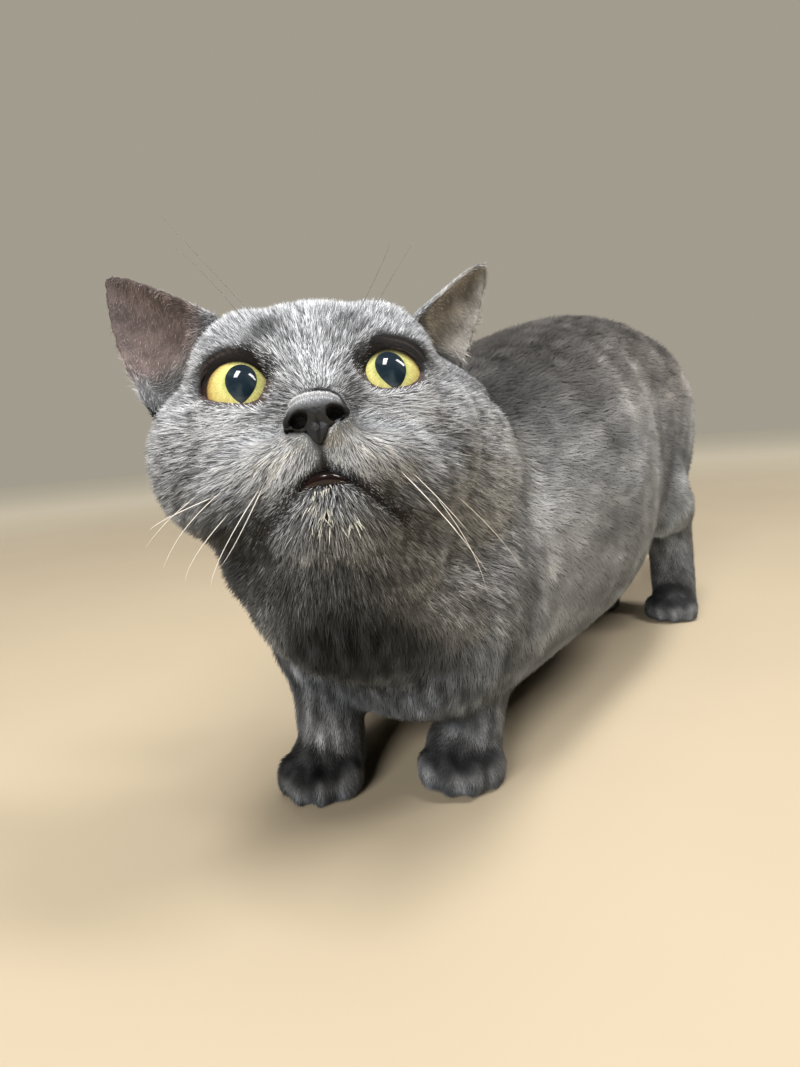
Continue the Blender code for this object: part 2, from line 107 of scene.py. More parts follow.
def alongPath(points, path):
    # the distance from each point to a line of straight steps, and how far along it that is, 0 to 1
    path = np.asarray(path, dtype=float)
    best, where = np.full(len(points), np.inf), np.zeros(len(points))
    for step, (start, end) in enumerate(zip(path[:-1], path[1:])):
        way = end - start
        t = np.clip((points - start) @ way / (way @ way), 0, 1)
        gap = np.linalg.norm(points - start - t[:, None] * way, axis=1)
        where = np.where(gap < best, (step + t) / (len(path) - 1), where)
        best = np.minimum(gap, best)
    return best, where


def addPiece(name, points, faces, finish, smooth=True, normals=None):
    # faces is an array of equal-sided faces, wound so that they face outwards
    mesh = bpy.data.meshes.new(name)
    count, sides = faces.shape
    mesh.vertices.add(len(points))
    mesh.vertices.foreach_set("co", np.asarray(points, dtype=np.float32).ravel())
    mesh.loops.add(count * sides)
    mesh.loops.foreach_set("vertex_index", faces.astype(np.int32).ravel())
    mesh.polygons.add(count)
    mesh.polygons.foreach_set("loop_start", np.arange(0, count * sides, sides, dtype=np.int32))
    mesh.update(calc_edges=True)
    mesh.polygons.foreach_set("use_smooth", np.full(count, smooth))
    if normals is not None:
        layer = mesh.attributes.new("custom_normal", "FLOAT_VECTOR", "POINT")
        layer.data.foreach_set("vector", np.asarray(normals, dtype=np.float32).ravel())
    mesh.materials.append(finish)
    piece = bpy.data.objects.new(name, mesh)
    bpy.context.scene.collection.objects.link(piece)
    return piece


def paintPoints(piece, name, colours):
    layer = piece.data.color_attributes.new(name, "FLOAT_COLOR", "POINT")
    rgba = np.ones((len(colours), 4), dtype=np.float32)
    rgba[:, :3] = colours
    layer.data.foreach_set("color", rgba.ravel())


def setMap(piece, name, places):
    # a UV map with one place for each corner of each face
    layer = piece.data.uv_layers.new(name=name)
    layer.data.foreach_set("uv", np.asarray(places, dtype=np.float32).ravel())


def capped(rows, columns):
    # the triangles of closed rings of points, row after row, and of the two end points that follow them
    row = np.arange(columns)
    after = (row + 1) % columns
    low = np.arange(rows - 1)[:, None] * columns
    high = low + columns
    quads = np.stack([low + row, low + after, high + after, high + row], -1).reshape(-1, 4)
    last, end = (rows - 1) * columns, np.full(columns, rows * columns)
    caps = [np.stack([after, row, end], 1), np.stack([last + row, last + after, end + 1], 1)]
    return np.concatenate([quads[:, [0, 1, 2]], quads[:, [0, 2, 3]], *caps])


def tube(path, radii, sides=10, flat=1.0):
    # rings carried along a path, closed by a point at each end; flat is their height as a share of the width
    path, radii = np.asarray(path, dtype=float), np.asarray(radii, dtype=float)
    along = unit(np.gradient(path, axis=0))
    side = unit(np.cross(along, np.array((0.0, 0.0, 1.0))))
    other = np.cross(side, along)
    angle = np.linspace(0, 2 * np.pi, sides, endpoint=False)[None, :, None]
    outward = np.cos(angle) * side[:, None] + flat * np.sin(angle) * other[:, None]
    rings = path[:, None] + radii[:, None, None] * outward
    points = np.concatenate([rings.reshape(-1, 3), path[:1], path[-1:]])
    return points, capped(len(path), sides)


class Wire:
    # a shader socket: arithmetic on it adds Math nodes

    def __init__(self, paint, socket):
        self.paint, self.socket = paint, socket

    def maths(self, operation, *values):
        return self.paint.node("ShaderNodeMath", {"operation": operation}, dict(enumerate(values)))

    def __add__(self, other): return self.maths("ADD", self, other)
    def __radd__(self, other): return self.maths("ADD", other, self)
    def __sub__(self, other): return self.maths("SUBTRACT", self, other)
    def __rsub__(self, other): return self.maths("SUBTRACT", other, self)
    def __mul__(self, other): return self.maths("MULTIPLY", self, other)
    def __rmul__(self, other): return self.maths("MULTIPLY", other, self)
    def __truediv__(self, other): return self.maths("DIVIDE", self, other)
    def __pow__(self, other): return self.maths("POWER", self, other)

    def abs(self): return self.maths("ABSOLUTE", self)
    def atLeast(self, other): return self.maths("MAXIMUM", self, other)

    def step(self, low, high):
        # 0 at low and 1 at high, smooth between
        return self.paint.node("ShaderNodeMapRange", {"interpolation_type": "SMOOTHSTEP"},
                               {0: self, 1: low, 2: high, 3: 0.0, 4: 1.0})


class Paint:
    # a material with one Principled shader; constants go straight on its sockets

    def __init__(self, name, **constants):
        self.material = bpy.data.materials.new(name)
        self.material.use_nodes = True
        self.tree = self.material.node_tree
        self.shader = self.tree.nodes["Principled BSDF"]
        for socket, value in constants.items():
            self.shader.inputs[socket.replace("_", " ")].default_value = value

    def node(self, kind, settings=None, inputs=None, output=0):
        made = self.tree.nodes.new(kind)
        for name, value in (settings or {}).items():
            if name == "stops":
                ramp = made.color_ramp.elements
                while len(ramp) < len(value):
                    ramp.new(0.5)
                for element, (place, colour) in zip(ramp, value):
                    element.position = place
                    element.color = (*colour, 1)
            else:
                setattr(made, name, value)
        for socket, value in (inputs or {}).items():
            if isinstance(value, Wire):
                self.tree.links.new(value.socket, made.inputs[socket])
            else:
                made.inputs[socket].default_value = value
        return Wire(self, made.outputs[output])

    def place(self):
        return self.node("ShaderNodeTexCoord", output="Object")

    def noise(self, scale, detail=3.0, roughness=0.5, at=None):
        inputs = {"Vector": at or self.place(), "Scale": scale, "Detail": detail, "Roughness": roughness}
        return self.node("ShaderNodeTexNoise", {}, inputs)

    def blend(self, factor, first, second, kind="MIX"):
        # Mix on colours; first and second are wires or plain colours
        mixed = self.node("ShaderNodeMix", {"data_type": "RGBA", "blend_type": kind, "clamp_result": False})
        node = mixed.socket.node
        for index, value in ((0, factor), (6, first), (7, second)):
            if isinstance(value, Wire):
                self.tree.links.new(value.socket, node.inputs[index])
            else:
                node.inputs[index].default_value = value if index == 0 else (*value, 1)
        return Wire(self, node.outputs[2])

    def scaled(self, colour, amount):
        # a colour times a number
        grey = self.node("ShaderNodeCombineColor", {}, {0: amount, 1: amount, 2: amount})
        return self.blend(1.0, colour, grey, "MULTIPLY")

    def tone(self, name):
        return self.node("ShaderNodeAttribute", {"attribute_name": name}, output="Color")

    def set(self, **wires):
        for socket, wire in wires.items():
            self.tree.links.new(wire.socket, self.shader.inputs[socket.replace("_", " ")])

    def bump(self, height, strength, distance):
        inputs = {"Strength": strength, "Distance": distance, "Height": height}
        self.set(Normal=self.node("ShaderNodeBump", {}, inputs))


# Lids: each almond opening's centre, half width, rise above and below and its slope; how far the bare upper
# lid reaches past it, most in the direction of its peak; and where its fold lies. Then what both have: the
# level of their corners, the power of their curve, the rims' thickness and how far they stand off the eyeball
lidForm = {
    -1: {"centre": 21.55, "half": 10.3, "above": 8.9, "below": 7.0, "slope": 0.16, "bare": 2.1, "peak": 74,
         "fade": 0.60, "fold": 1.17},
    1: {"centre": 19.95, "half": 9.55, "above": 7.0, "below": 6.6, "slope": 0.0, "bare": 5.6, "peak": 68,
        "fade": 0.58, "fold": 1.42},
    "level": 0.4, "power": 2.2, "upper": 0.8, "lower": 0.32, "stand": 0.25, "steps": 96}

# Skin: one closed surface fused from the flesh nodes, softened, and set inside them by the coat's depth
skinForm = {"voxel": 0.00115, "keptShare": 0.37, "bodyRounds": 60, "headRounds": 14, "fineRounds": 5,
            "faceDepth": 1.1, "bodyDepth": 2.6, "legDepth": 1.5, "pawDepth": 0.8, "earDepth": 0.15}
earBases = {-1: (-41.5, 24, 27.5), 1: (42.7, 26.7, 25.8)}
earTips = {-1: (-67.5, 34.5, 70.5), 1: (67.0, 33.0, 63.5)}
earBack = {-1: unit(np.array((0.42, 0.90, 0.10))), 1: unit(np.array((-0.73, 0.57, 0.43)))}
lipLine = [(20, 2, -39.6), (14.7, -5, -37.2), (9.5, -11, -34.4), (4.2, -15.5, -31.2), (-0.5, -17.5, -28.6),
           (-5.2, -15, -31.4), (-10, -11, -34.6), (-14.6, -5.5, -37.6), (-20, 2, -40.0)]
pawNames = ("forepaw_right", "forepaw_left", "hind_paw_right", "hind_paw_left")
pawMiddles = {name: (np.array(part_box(name)[0]) + np.array(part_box(name)[1])) / 2 for name in pawNames}
trunkMiddle = np.array((-0.004, 0.0, 0.118))
rowShift = headAt - np.array((0.0355, -0.2060, 0.1550))


def tailPath(t):
    # down behind the rump and out, the last third lifting clear of the floor
    points = np.stack([-44 * t ** 1.6, 168 + 150 * t ** 1.05, 178 - 268 * t + 156 * t ** 2.4], -1) / 1000
    return points + rowShift


tailLine = tailPath(np.linspace(0, 1, 15))


def padRows(head):
    # waves across the whisker pads, from -1 to 1, with 3.6 mm from row to row
    return np.sin((head[:, 2] + 0.42 * np.abs(head[:, 0]) + 0.35 * head[:, 1]) * 2 * np.pi / 3.6)


def inNose(head):
    # across and up in the nose leather's own axes: it sits a little to the cat's right, tilted
    across = head[:, 0] + 1.3
    return across, head[:, 2] - 0.12 * across


def noseEdge(head):
    # how far outside the nose leather a point lies, in millimetres across; it is a shield with a narrow foot
    across, level = inNose(head)
    heights = (-26.2, -25.2, -23.3, -21.5, -20.8, -19.8, -18.6, -16.5, -14.5, -12.5, -11, -10)
    halves = (-2.0, 0.5, 1.9, 2.8, 4.6, 7.2, 8.6, 8.4, 7.9, 6.8, 4.6, -2.0)
    return np.abs(across) - np.interp(level, heights, halves)


def mouthGap(head):
    # below 1 in the dark gap, an arch between the upper lips and the lower lip
    across = np.abs(head[:, 0] + 0.5)
    top, foot = -28.5 - 0.60 * across, -31.0 - 0.30 * across
    tall = (top - foot) / 2 + 0.4
    return np.sqrt((across / 7.4) ** 4 + ((head[:, 2] - (top + foot) / 2) / tall.clip(0.3)) ** 2)


def almond(head, out):
    # the eye's opening as a number: below 1 between the lids, above 1 outside them; and how much of an upper
    # lid there is in that direction, most above the outer half of the eye
    form = lidForm[out]
    across = head[:, 0] * out - form["centre"]
    rise = head[:, 2] - lidForm["level"] - form["slope"] * across
    tall = np.where(rise > 0, form["above"], form["below"])
    power = lidForm["power"]
    reach = ((np.abs(across) / form["half"]) ** power + (np.abs(rise) / tall) ** power) ** (1 / power)
    toPeak = np.cos(np.arctan2(rise / tall, across / form["half"]) - radians(form["peak"]))
    return reach + 9 * (head[:, 0] * out < 0), smoothStep(toPeak, form["fade"], 1.0)


def lidGap(head):
    # the nearer eye's opening number, and how far a point is outside its lids' bare rim, in millimetres
    right, left = almond(head, -1), almond(head, 1)
    nearer = head[:, 0] < 0
    bare = np.where(nearer, lidForm[-1]["bare"] * right[1], lidForm[1]["bare"] * left[1])
    opening = np.where(nearer, right[0], left[0])
    return opening, (opening - 1) * 8.0 - 0.25 - bare


def lipReach(head):
    # how far a point is from the lip line or from the groove between nose and mouth, which is narrower
    lips, _ = alongPath(head, lipLine)
    groove, _ = alongPath(head, [(-1.3, -21.5, -25), (-0.6, -18, -28.6)])
    return np.minimum(lips, groove + 0.4)


def philtrumGap(head):
    # how far aside a point is from the line between the nose's foot and the lips
    return alongPath(head[:, [0, 2]], [(-1.35, -25), (-0.7, -28.8)])[0]


def gathered(names):
    bm = bmesh.new()
    for name in names:
        bm.from_mesh(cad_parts[name].data)
    bmesh.ops.remove_doubles(bm, verts=bm.verts, dist=1e-6)
    mesh = bpy.data.meshes.new("gathered")
    bm.to_mesh(mesh)
    bm.free()
    return mesh


def modified(mesh, kind, group=None, **settings):
    # a mesh after one modifier, with an optional vertex group to steer it
    item = bpy.data.objects.new("work", mesh)
    bpy.context.scene.collection.objects.link(item)
    step = item.modifiers.new("step", kind)
    for name, value in settings.items():
        setattr(step, name, value)
    if group is not None:
        members = item.vertex_groups.new(name="amount")
        levels = np.round(group * 10).astype(int)
        for level in range(1, 11):
            members.add(np.nonzero(levels == level)[0].tolist(), level / 10, "REPLACE")
        step.vertex_group = "amount"
    depsgraph = bpy.context.evaluated_depsgraph_get()
    depsgraph.update()
    made = bpy.data.meshes.new_from_object(item.evaluated_get(depsgraph))
    bpy.data.objects.remove(item)
    return made


def pointsOf(mesh):
    points = np.empty(len(mesh.vertices) * 3, dtype=np.float32)
    mesh.vertices.foreach_get("co", points)
    return points.reshape(-1, 3).astype(float)


def edgesOf(mesh):
    edges = np.empty(len(mesh.edges) * 2, dtype=np.int32)
    mesh.edges.foreach_get("vertices", edges)
    return edges.reshape(-1, 2)


def trianglesOf(mesh):
    mesh.calc_loop_triangles()
    corners = np.empty(len(mesh.loop_triangles) * 3, dtype=np.int32)
    mesh.loop_triangles.foreach_get("vertices", corners)
    return corners.reshape(-1, 3)


def normalsOf(points, triangles):
    # the mean of the faces round each point, weighted by their areas
    a, b, c = (points[triangles[:, k]] for k in range(3))
    faces = np.cross(b - a, c - a)
    total = np.stack([sum(np.bincount(triangles[:, k], faces[:, axis], len(points)) for k in range(3))
                      for axis in range(3)], 1)
    return unit(total)


def softened(points, edges, amount, rounds):
    # each point moves by its own share towards the mean of its neighbours, some rounds over
    near, far = np.concatenate([edges, edges[:, ::-1]]).T
    count = np.bincount(near, minlength=len(points))[:, None]
    for _ in range(rounds):
        mean = np.stack([np.bincount(near, points[far, axis], len(points)) for axis in range(3)], 1) / count
        points = points + amount[:, None] * (mean - points)
    return points


def headShare(head):
    # 1 on the head, falling to 0 behind the ears and below the jaw
    behind = smoothStep(head[:, 1] + 0.36 * (head[:, 2] + 12), 40, 62)
    return (1 - behind) * smoothStep(head[:, 2] + 0.22 * np.maximum(head[:, 1], 0), -60, -50)


def earShare(head, low=0.12, high=0.3):
    # 1 on each ear, 0 elsewhere, from how far up the ear's own axis a point lies
    share = np.zeros(len(head))
    for out in (-1, 1):
        base, tip = np.array(earBases[out]), np.array(earTips[out])
        way = tip - base
        t = (head - base) @ way / (way @ way)
        off = np.linalg.norm(head - base - t[:, None] * way, axis=1)
        share = np.maximum(share, smoothStep(t, low, high) * (off < 24) * (head[:, 0] * out > 20))
    return share


def pawShare(points):
    return 1 - smoothStep(points[:, 2], 0.024, 0.038)


print("skin: fusing")
fleshNodes = [name for name in sorted(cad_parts) if name not in ("eye_left", "eye_right", "nose")]
fusedMesh = modified(gathered(sorted(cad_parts)), "REMESH", mode="VOXEL", voxel_size=skinForm["voxel"])
skinPoints, skinEdges = pointsOf(fusedMesh), edgesOf(fusedMesh)
head = toHead(skinPoints)
bodyAmount = 0.5 * (1 - headShare(head)) * (1 - pawShare(skinPoints)) * (1 - earShare(head, -0.15, 0.12))
headAmount = 0.5 * headShare(head) * (1 - earShare(head, -0.15, 0.12))
skinPoints = softened(skinPoints, skinEdges, bodyAmount, skinForm["bodyRounds"])
skinPoints = softened(skinPoints, skinEdges, headAmount, skinForm["headRounds"])
skinPoints = softened(skinPoints, skinEdges, np.full(len(skinPoints), 0.5), skinForm["fineRounds"])
fusedMesh.vertices.foreach_set("co", skinPoints.astype(np.float32).ravel())
print("skin: fused", len(skinPoints), "points")
keep = np.maximum(np.maximum(headShare(head), earShare(head)), pawShare(skinPoints) * 0.8)
thinned = modified(fusedMesh, "DECIMATE", group=1 - keep, ratio=skinForm["keptShare"],
                   use_collapse_triangulate=True)
skinPoints, skinEdges, skinTriangles = pointsOf(thinned), edgesOf(thinned), trianglesOf(thinned)
skinNormals = normalsOf(skinPoints, skinTriangles)
head = toHead(skinPoints)
lidDistance, lidClear = lidGap(head)
lipDistance = lipReach(head)
onHead, onEar, onPaw = headShare(head), earShare(head), pawShare(skinPoints)
onLeg = 1 - smoothStep(skinPoints[:, 2], 0.045, 0.085)

# How deep the skin lies under the solids
depth = skinForm["bodyDepth"] + (skinForm["legDepth"] - skinForm["bodyDepth"]) * onLeg
depth = depth + (skinForm["pawDepth"] - depth) * onPaw
depth = depth + (skinForm["faceDepth"] - depth) * onHead
bare = (1 - smoothStep(noseEdge(head), 0, 3)) * (head[:, 1] < -10)
bare = np.maximum(bare, 1 - smoothStep(lidDistance, 1.1, 1.7))
bare = np.maximum(bare, 1 - smoothStep(lipDistance, 1.0, 5.0)) * (head[:, 1] < 12)
depth = depth * (1 - 0.85 * bare)
depth = depth + (skinForm["earDepth"] - depth) * earShare(head, -0.15, 0.12)
skinPoints = skinPoints - skinNormals * depth[:, None] / 1000
skinPoints = softened(skinPoints, skinEdges, 0.4 * (1 - onEar), 2)

# The left cheek's back is drawn in towards the neck
head = toHead(skinPoints)
head[:, 0] -= 1.5 * spot(head, (52, 22, -12), (16, 18, 24))
skinPoints = fromHead(head)

# How hollow the surface is, in millimetres: how far its neighbours' mean, taken widely, stands out over it
hollow = (softened(skinPoints, skinEdges, np.full(len(skinPoints), 0.5), 30) - skinPoints) * 1000
hollow = np.clip((hollow * skinNormals).sum(1), -0.8, 1.2)

# The face: skin drawn back under the eyeballs, over which the lids lie, and under the nose leather and lips
head = toHead(skinPoints)
for out in (-1, 1):
    centre = np.array((eyeMiddles[out], 0, 0))
    ball = head - centre
    far = np.linalg.norm(ball, axis=1)
    opening, upperLid = almond(head, out)
    near = (far < 16.5) & (head[:, 1] < 2.0)
    inside = 1 - smoothStep(opening, 0.86, 1.02)
    lid = np.maximum(far, eyeRadius + 0.8 + (0.5 + 0.8 * upperLid) * smoothStep(opening, 1.0, 1.4))
    lid = np.minimum(lid, eyeRadius + 0.9 + 13 * (opening - 1).clip(0) ** 1.5)
    wanted = lid + (eyeRadius - 1.6 - lid) * inside
    head = np.where(near[:, None], centre + ball * (wanted / far)[:, None], head)
noseGap = noseEdge(head)
head = head + ((1 - smoothStep(noseGap, -1.2, 0.2)) * (head[:, 1] < -12))[:, None] * np.array((0, 4.4, 2.3))
lipDistance = lipReach(head)
head[:, 1] += 2.1 * np.exp(-(lipDistance / 1.2) ** 2) * (head[:, 1] < 4)
head[:, 1] += 3.0 * (1 - smoothStep(mouthGap(head), 0.6, 1.15)) * (head[:, 1] < -8)
head[:, 1] += 0.32 * padRows(head) * spot(np.abs(head), (13, 9, 25), (7.5, 8, 6)) * (head[:, 2] < 0)
skinPoints = np.where((onHead > 0.02)[:, None], fromHead(head), skinPoints)
skinPoints[:, 2] = np.maximum(skinPoints[:, 2], 0.0004)
skinNormals = normalsOf(skinPoints, skinTriangles)
head = toHead(skinPoints)
print("skin:", len(skinTriangles), "triangles")

# Painted light and shade, with some of the coat's own markings: how much lighter or darker, as a logarithm,
# the coat is painted at each soft round mark, with the mark's centre and radii in the head's axes. A mark
# with two amounts lies on both sides, the right side's first. Painted light, partly the coat's own silver:
# forehead, bridge, muzzle and under the eyes. Painted shade: cheeks, mouth corners, jaw, under the jaw and
# the chin; the dark brow patches are partly painted shade in the creases
faceLightShadeAndMarks = {
    "forehead": (0.30, (0, 8, 34), (34, 30, 18)),
    "bridge": (0.22, (0, -8, 6), (7, 20, 20)),
    "muzzle": (1.72, 1.52, (11, -14, -22), (12, 16, 8)),
    "under eye": (0.78, 1.02, (22, -6, -11), (15, 14, 6)),
    "brow": (-1.90, -1.20, (10.8, -6, 15.2), (5.4, 30, 5.2)),
    "inner corner": (-0.35, -0.35, (9.5, -12, -1), (2.2, 9, 7)),
    "outer corner": (1.00, 1.00, (34.5, -1, -1.0), (5, 8, 2.0)),
    "cheek": (-0.45, -0.45, (38, 8, -22), (13, 18, 13)),
    "mouth corner": (-0.85, -0.85, (23, -8, -39), (12, 20, 7)),
    "jaw": (-1.85, -0.25, (31, 14, -42), (14, 20, 10)),
    "under jaw": (-1.50, (0, -4, -56), (34, 26, 9)),
    "chin": (-0.35, (0, -12, -40), (14, 20, 8))}
# painted light and shade: lighter on the left of the neck, darker under the right jaw and on the right chest
neckLightAndShade = {
    "left neck": (0.45, (60, 38, -14), (20, 30, 30)),
    "right jaw": (-0.60, (-30, -2, -35), (10, 16, 7)),
    "right chest": (-0.65, (-20, 22, -56), (22, 24, 18))}
# The ground of the body and of the face, then how much lighter or darker other parts of the coat are painted:
# painted shade underneath, on the back, chest, throat and feet, at the nose's foot and in concave places with
# painted light on the crests, and painted light on the shoulder; the locks, streaks and pad rows are the
# coat's own
toneForm = {
    "body": 0.29, "under": -0.20, "back": -1.75, "chest": -0.75, "throat": -3.0, "shoulder": 0.45,
    "rump": 0.10, "chest locks": 0.45, "throat locks": 0.5, "streaks": 0.26, "forepaws": -0.08,
    "hind paws": -0.60,
    "face": 0.27, "face under": -0.15, "pad rows": -1.00, "lids": -1.2, "lips": -0.9, "philtrum": -1.6,
    "nose foot": -1.0, "hollow shade": -0.55}


def marked(head, marks):
    # the sum of the marks at each point
    total = np.zeros(len(head))
    for *amounts, (x, y, z), radii in marks.values():
        for out, amount in zip((-1, 1)[-len(amounts):], amounts):
            total += amount * spot(head, (out * x, y, z), radii)
    return total


def bodyTone(points, head, normals, under):
    # a mottled ground with painted shade above and below and on the chest, throat and feet, and painted light
    # on the shoulder; with pale wavy streaks along the neck and the sides, and upright locks on the chest and
    # the throat
    tone = toneForm
    mottle = 0.26 * ripple(points, 0.010, 3) + 0.18 * ripple(points, 0.020, 4)
    mottle += 0.12 * ripple(points, 0.0045, 6)
    front = smoothStep(-points[:, 1], 0.12, 0.21) * (1 - smoothStep(points[:, 2], 0.09, 0.16))
    throat = spot(head, (4, 4, -70), (40, 50, 26))
    body = np.log(tone["body"]) + mottle + tone["under"] * under
    body += tone["back"] * smoothStep(normals[:, 2], 0.15, 0.95)
    body += tone["chest"] * front + tone["throat"] * throat
    body += tone["shoulder"] * spot(points * 1000, (62, -150, 110), (30, 50, 40))
    body += tone["rump"] * smoothStep(points[:, 1], 0.03, 0.14)
    locks = ripple(points * np.array((1, 1, 0.3)), 0.006, 8)
    body += (tone["chest locks"] * front + tone["throat locks"] * throat) * locks
    strands = np.exp(-(ripple(points, 0.040, 9, 6) / 0.10) ** 2)
    body += tone["streaks"] * strands * smoothStep(-points[:, 1], -0.06, 0.03) * (1 - front)
    paws = np.where(points[:, 1] < 0, tone["forepaws"], tone["hind paws"])
    return body + paws * (1 - smoothStep(points[:, 2], 0.02, 0.07))


def faceTone(points, head, under):
    # a finely mottled ground with the face's painted light and shade and marks, painted shade underneath,
    # rows on the whisker pads, dark edges round the lids and the lips, and painted shade at the nose's foot
    tone = toneForm
    face = np.log(tone["face"]) + 0.12 * ripple(points, 0.004, 5) + 0.14 * ripple(points, 0.010, 7)
    face += marked(head, faceLightShadeAndMarks) + tone["face under"] * under
    pads = spot(np.abs(head), (13, 9, 25), (8, 9, 6)) * (head[:, 2] < 0)
    face += tone["pad rows"] * (0.5 - padRows(head)) * pads
    lids = np.exp(-(lidGap(head)[1].clip(0) / 1.4) ** 2) * smoothStep(head[:, 2], -2, 3)
    face += tone["lids"] * lids * (head[:, 1] < 8)
    face += tone["lips"] * np.exp(-(lipReach(head) / 1.2) ** 2) * (head[:, 1] < 6)
    face += tone["philtrum"] * np.exp(-(philtrumGap(head) / 0.7) ** 2) * (head[:, 1] < -8)
    # painted shade just below the nose leather
    foot = np.exp(-(noseEdge(head).clip(0) / 0.6) ** 2) * (head[:, 1] < -10) * (head[:, 2] < -17)
    return face + tone["nose foot"] * foot


def coatTone(points, head, normals):
    # the coat's colours with their painted light and shade, as linear colours: a little cool, warmer on the
    # back, and bluer underneath, a painted tint that cancels the floor's warm bounce light
    onHead, under = headShare(head), smoothStep(-normals[:, 2], -0.40, 0.65)
    body, face = bodyTone(points, head, normals, under), faceTone(points, head, under)
    # painted shade in concave places and painted light on the crests, from how hollow the surface is
    shade = np.exp(body + (face - body) * onHead + toneForm["hollow shade"] * hollow + marked(head, neckLightAndShade))
    warm, cool = smoothStep(points[:, 2], 0.12, 0.19) * (1 - onHead), under * (1 - 0.5 * onHead)
    hue = np.array((0.97, 0.995, 1.035)) + warm[:, None] * np.array((0.07, -0.02, -0.12))
    return np.clip(shade[:, None] * (hue + cool[:, None] * np.array((-0.09, 0.0, 0.15))), 0.006, 0.93)


def lieOf(points, head, normals):
    # which way the hair points: out from the nose on the head, up the ears, back and down on the body,
    # down the legs and along the tail; a slow ripple turns it a little from place to place
    onHead, onEar = headShare(head)[:, None], earShare(head)[:, None]
    front = smoothStep(-points[:, 1], 0.135, 0.215)[:, None]
    low = (1 - smoothStep(points[:, 2], 0.05, 0.11))[:, None]
    side = np.abs(normals[:, :1])
    body = np.array((0, 1.0, 0)) + side * np.array((0, 0, -0.45)) + front * np.array((0, -0.75, -1.3))
    body = body + low * np.array((0, -0.7, -1.3))
    gap, where = alongPath(points, tailLine)
    onTail = ((1 - smoothStep(gap, 0.018, 0.026)) * smoothStep(where, 0.1, 0.22))[:, None]
    tailWay = unit(tailPath(np.clip(where, 0.01, 0.99) + 0.01) - tailPath(np.clip(where, 0.01, 0.99) - 0.01))
    body = body * (1 - onTail) + tailWay * onTail
    heart = np.where(head[:, 2:] < -30, np.array((0, -16, -24)), np.array((0, -16, -13)))
    radial = unit(head - heart) + np.array((0, 0.25, 0))
    for out in (-1, 1):
        upEar = unit(np.array(earTips[out]) - np.array(earBases[out]))
        radial = np.where((onEar > 0.3) & (head[:, :1] * out > 0), upEar, radial)
    way = body * (1 - onHead) + (radial @ headAxes.T) * onHead
    for size, seed, amount, lessOnHead in ((0.022, 20, 0.22, 0.6), (0.007, 30, 0.24, 0.65)):
        turn = np.stack([ripple(points, size, seed + k) for k in range(3)], 1)
        way = way + amount * turn * (1 - lessOnHead * onHead)
    way = way - (way * normals).sum(1, keepdims=True) * normals
    return unit(way)


skinTone = coatTone(skinPoints, head, skinNormals)
skinLie = lieOf(skinPoints, head, skinNormals)

# Bare and half-bare skin: inside the ears, round the eyes, the nose and the mouth
lidDistance, lidClear = lidGap(head)
lipDistance = lipReach(head)
earInner, earEdge = np.zeros(len(head)), np.zeros(len(head))
for out in (-1, 1):
    facing = (skinNormals @ headAxes) @ earBack[out]
    thisSide = head[:, 0] * out > 0
    inner, edge = smoothStep(-facing, 0.0, 0.5), 1 - smoothStep(np.abs(facing), 0.25, 0.75)
    earInner = np.maximum(earInner, inner * earShare(head) * thisSide)
    earEdge = np.maximum(earEdge, edge * earShare(head, 0.2, 0.5) * thisSide)

skinPaint = Paint("coatSkin", Roughness=0.8, Specular_IOR_Level=0.25)
skinColour = skinPaint.tone("coatTone")
skinGrain = skinPaint.noise(900.0, 4.0, 0.65)
skinPaint.set(Base_Color=skinPaint.scaled(skinColour, 0.55 + 0.5 * skinGrain))
skinPaint.bump(skinGrain, 0.6, 0.0006)

leatherTone = np.array((0.017, 0.012, 0.010))
earHigh = smoothStep(head[:, 2], 36, 62)[:, None]
earMottle = np.exp(0.22 * ripple(skinPoints, 0.007, 71) + 0.16 * ripple(skinPoints, 0.003, 72))[:, None]
earTone = np.where(head[:, :1] < 0, np.array((0.140, 0.108, 0.102)), np.array((0.31, 0.295, 0.275)))
earTone = earTone * (1 - 0.35 * earHigh) * earMottle
# the skin under the coat is painted darker than the coat: painted shade that shows in the gaps between tufts
skinToneAndGapShade = skinTone * (0.60 - 0.30 * onHead[:, None])
rimShare = (1 - smoothStep(lidClear, -0.2, 0.5)) * (head[:, 1] < 6)
lipShare = np.maximum(np.exp(-(lipDistance / 1.25) ** 2), 1 - smoothStep(mouthGap(head), 1.0, 1.5))
lipShare = lipShare * (head[:, 1] < 6)
# the lids' bare skin: dark above, partly the lid's own dark edge and partly painted shade under the brow,
# lighter below; along the upper lid's fold lies a painted highlight
lidTone = np.array((0.006, 0.0045, 0.004)) + np.array((0.06, 0.042, 0.038)) * (head[:, 2:] < 0)
foldAt = np.where(head[:, 0] < 0, lidForm[-1]["fold"], lidForm[1]["fold"])
fold = np.exp(-((lidDistance - foldAt) / 0.045) ** 2) * smoothStep(np.abs(head[:, 0]), 17, 26)
lidTone = lidTone + np.array((0.045, 0.034, 0.029)) * (fold * (head[:, 2] > 0))[:, None]
skinToneAndGapShade = skinToneAndGapShade + (lidTone - skinToneAndGapShade) * rimShare[:, None]
skinToneAndGapShade = skinToneAndGapShade + (leatherTone - skinToneAndGapShade) * np.clip(lipShare, 0, 1)[:, None]
skinToneAndGapShade = skinToneAndGapShade + (earTone - skinToneAndGapShade) * earInner[:, None]
skinPiece = addPiece("skin", skinPoints, skinTriangles, skinPaint.material)
paintPoints(skinPiece, "coatTone", skinToneAndGapShade)
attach(skinPiece, "root")
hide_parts(*fleshNodes)

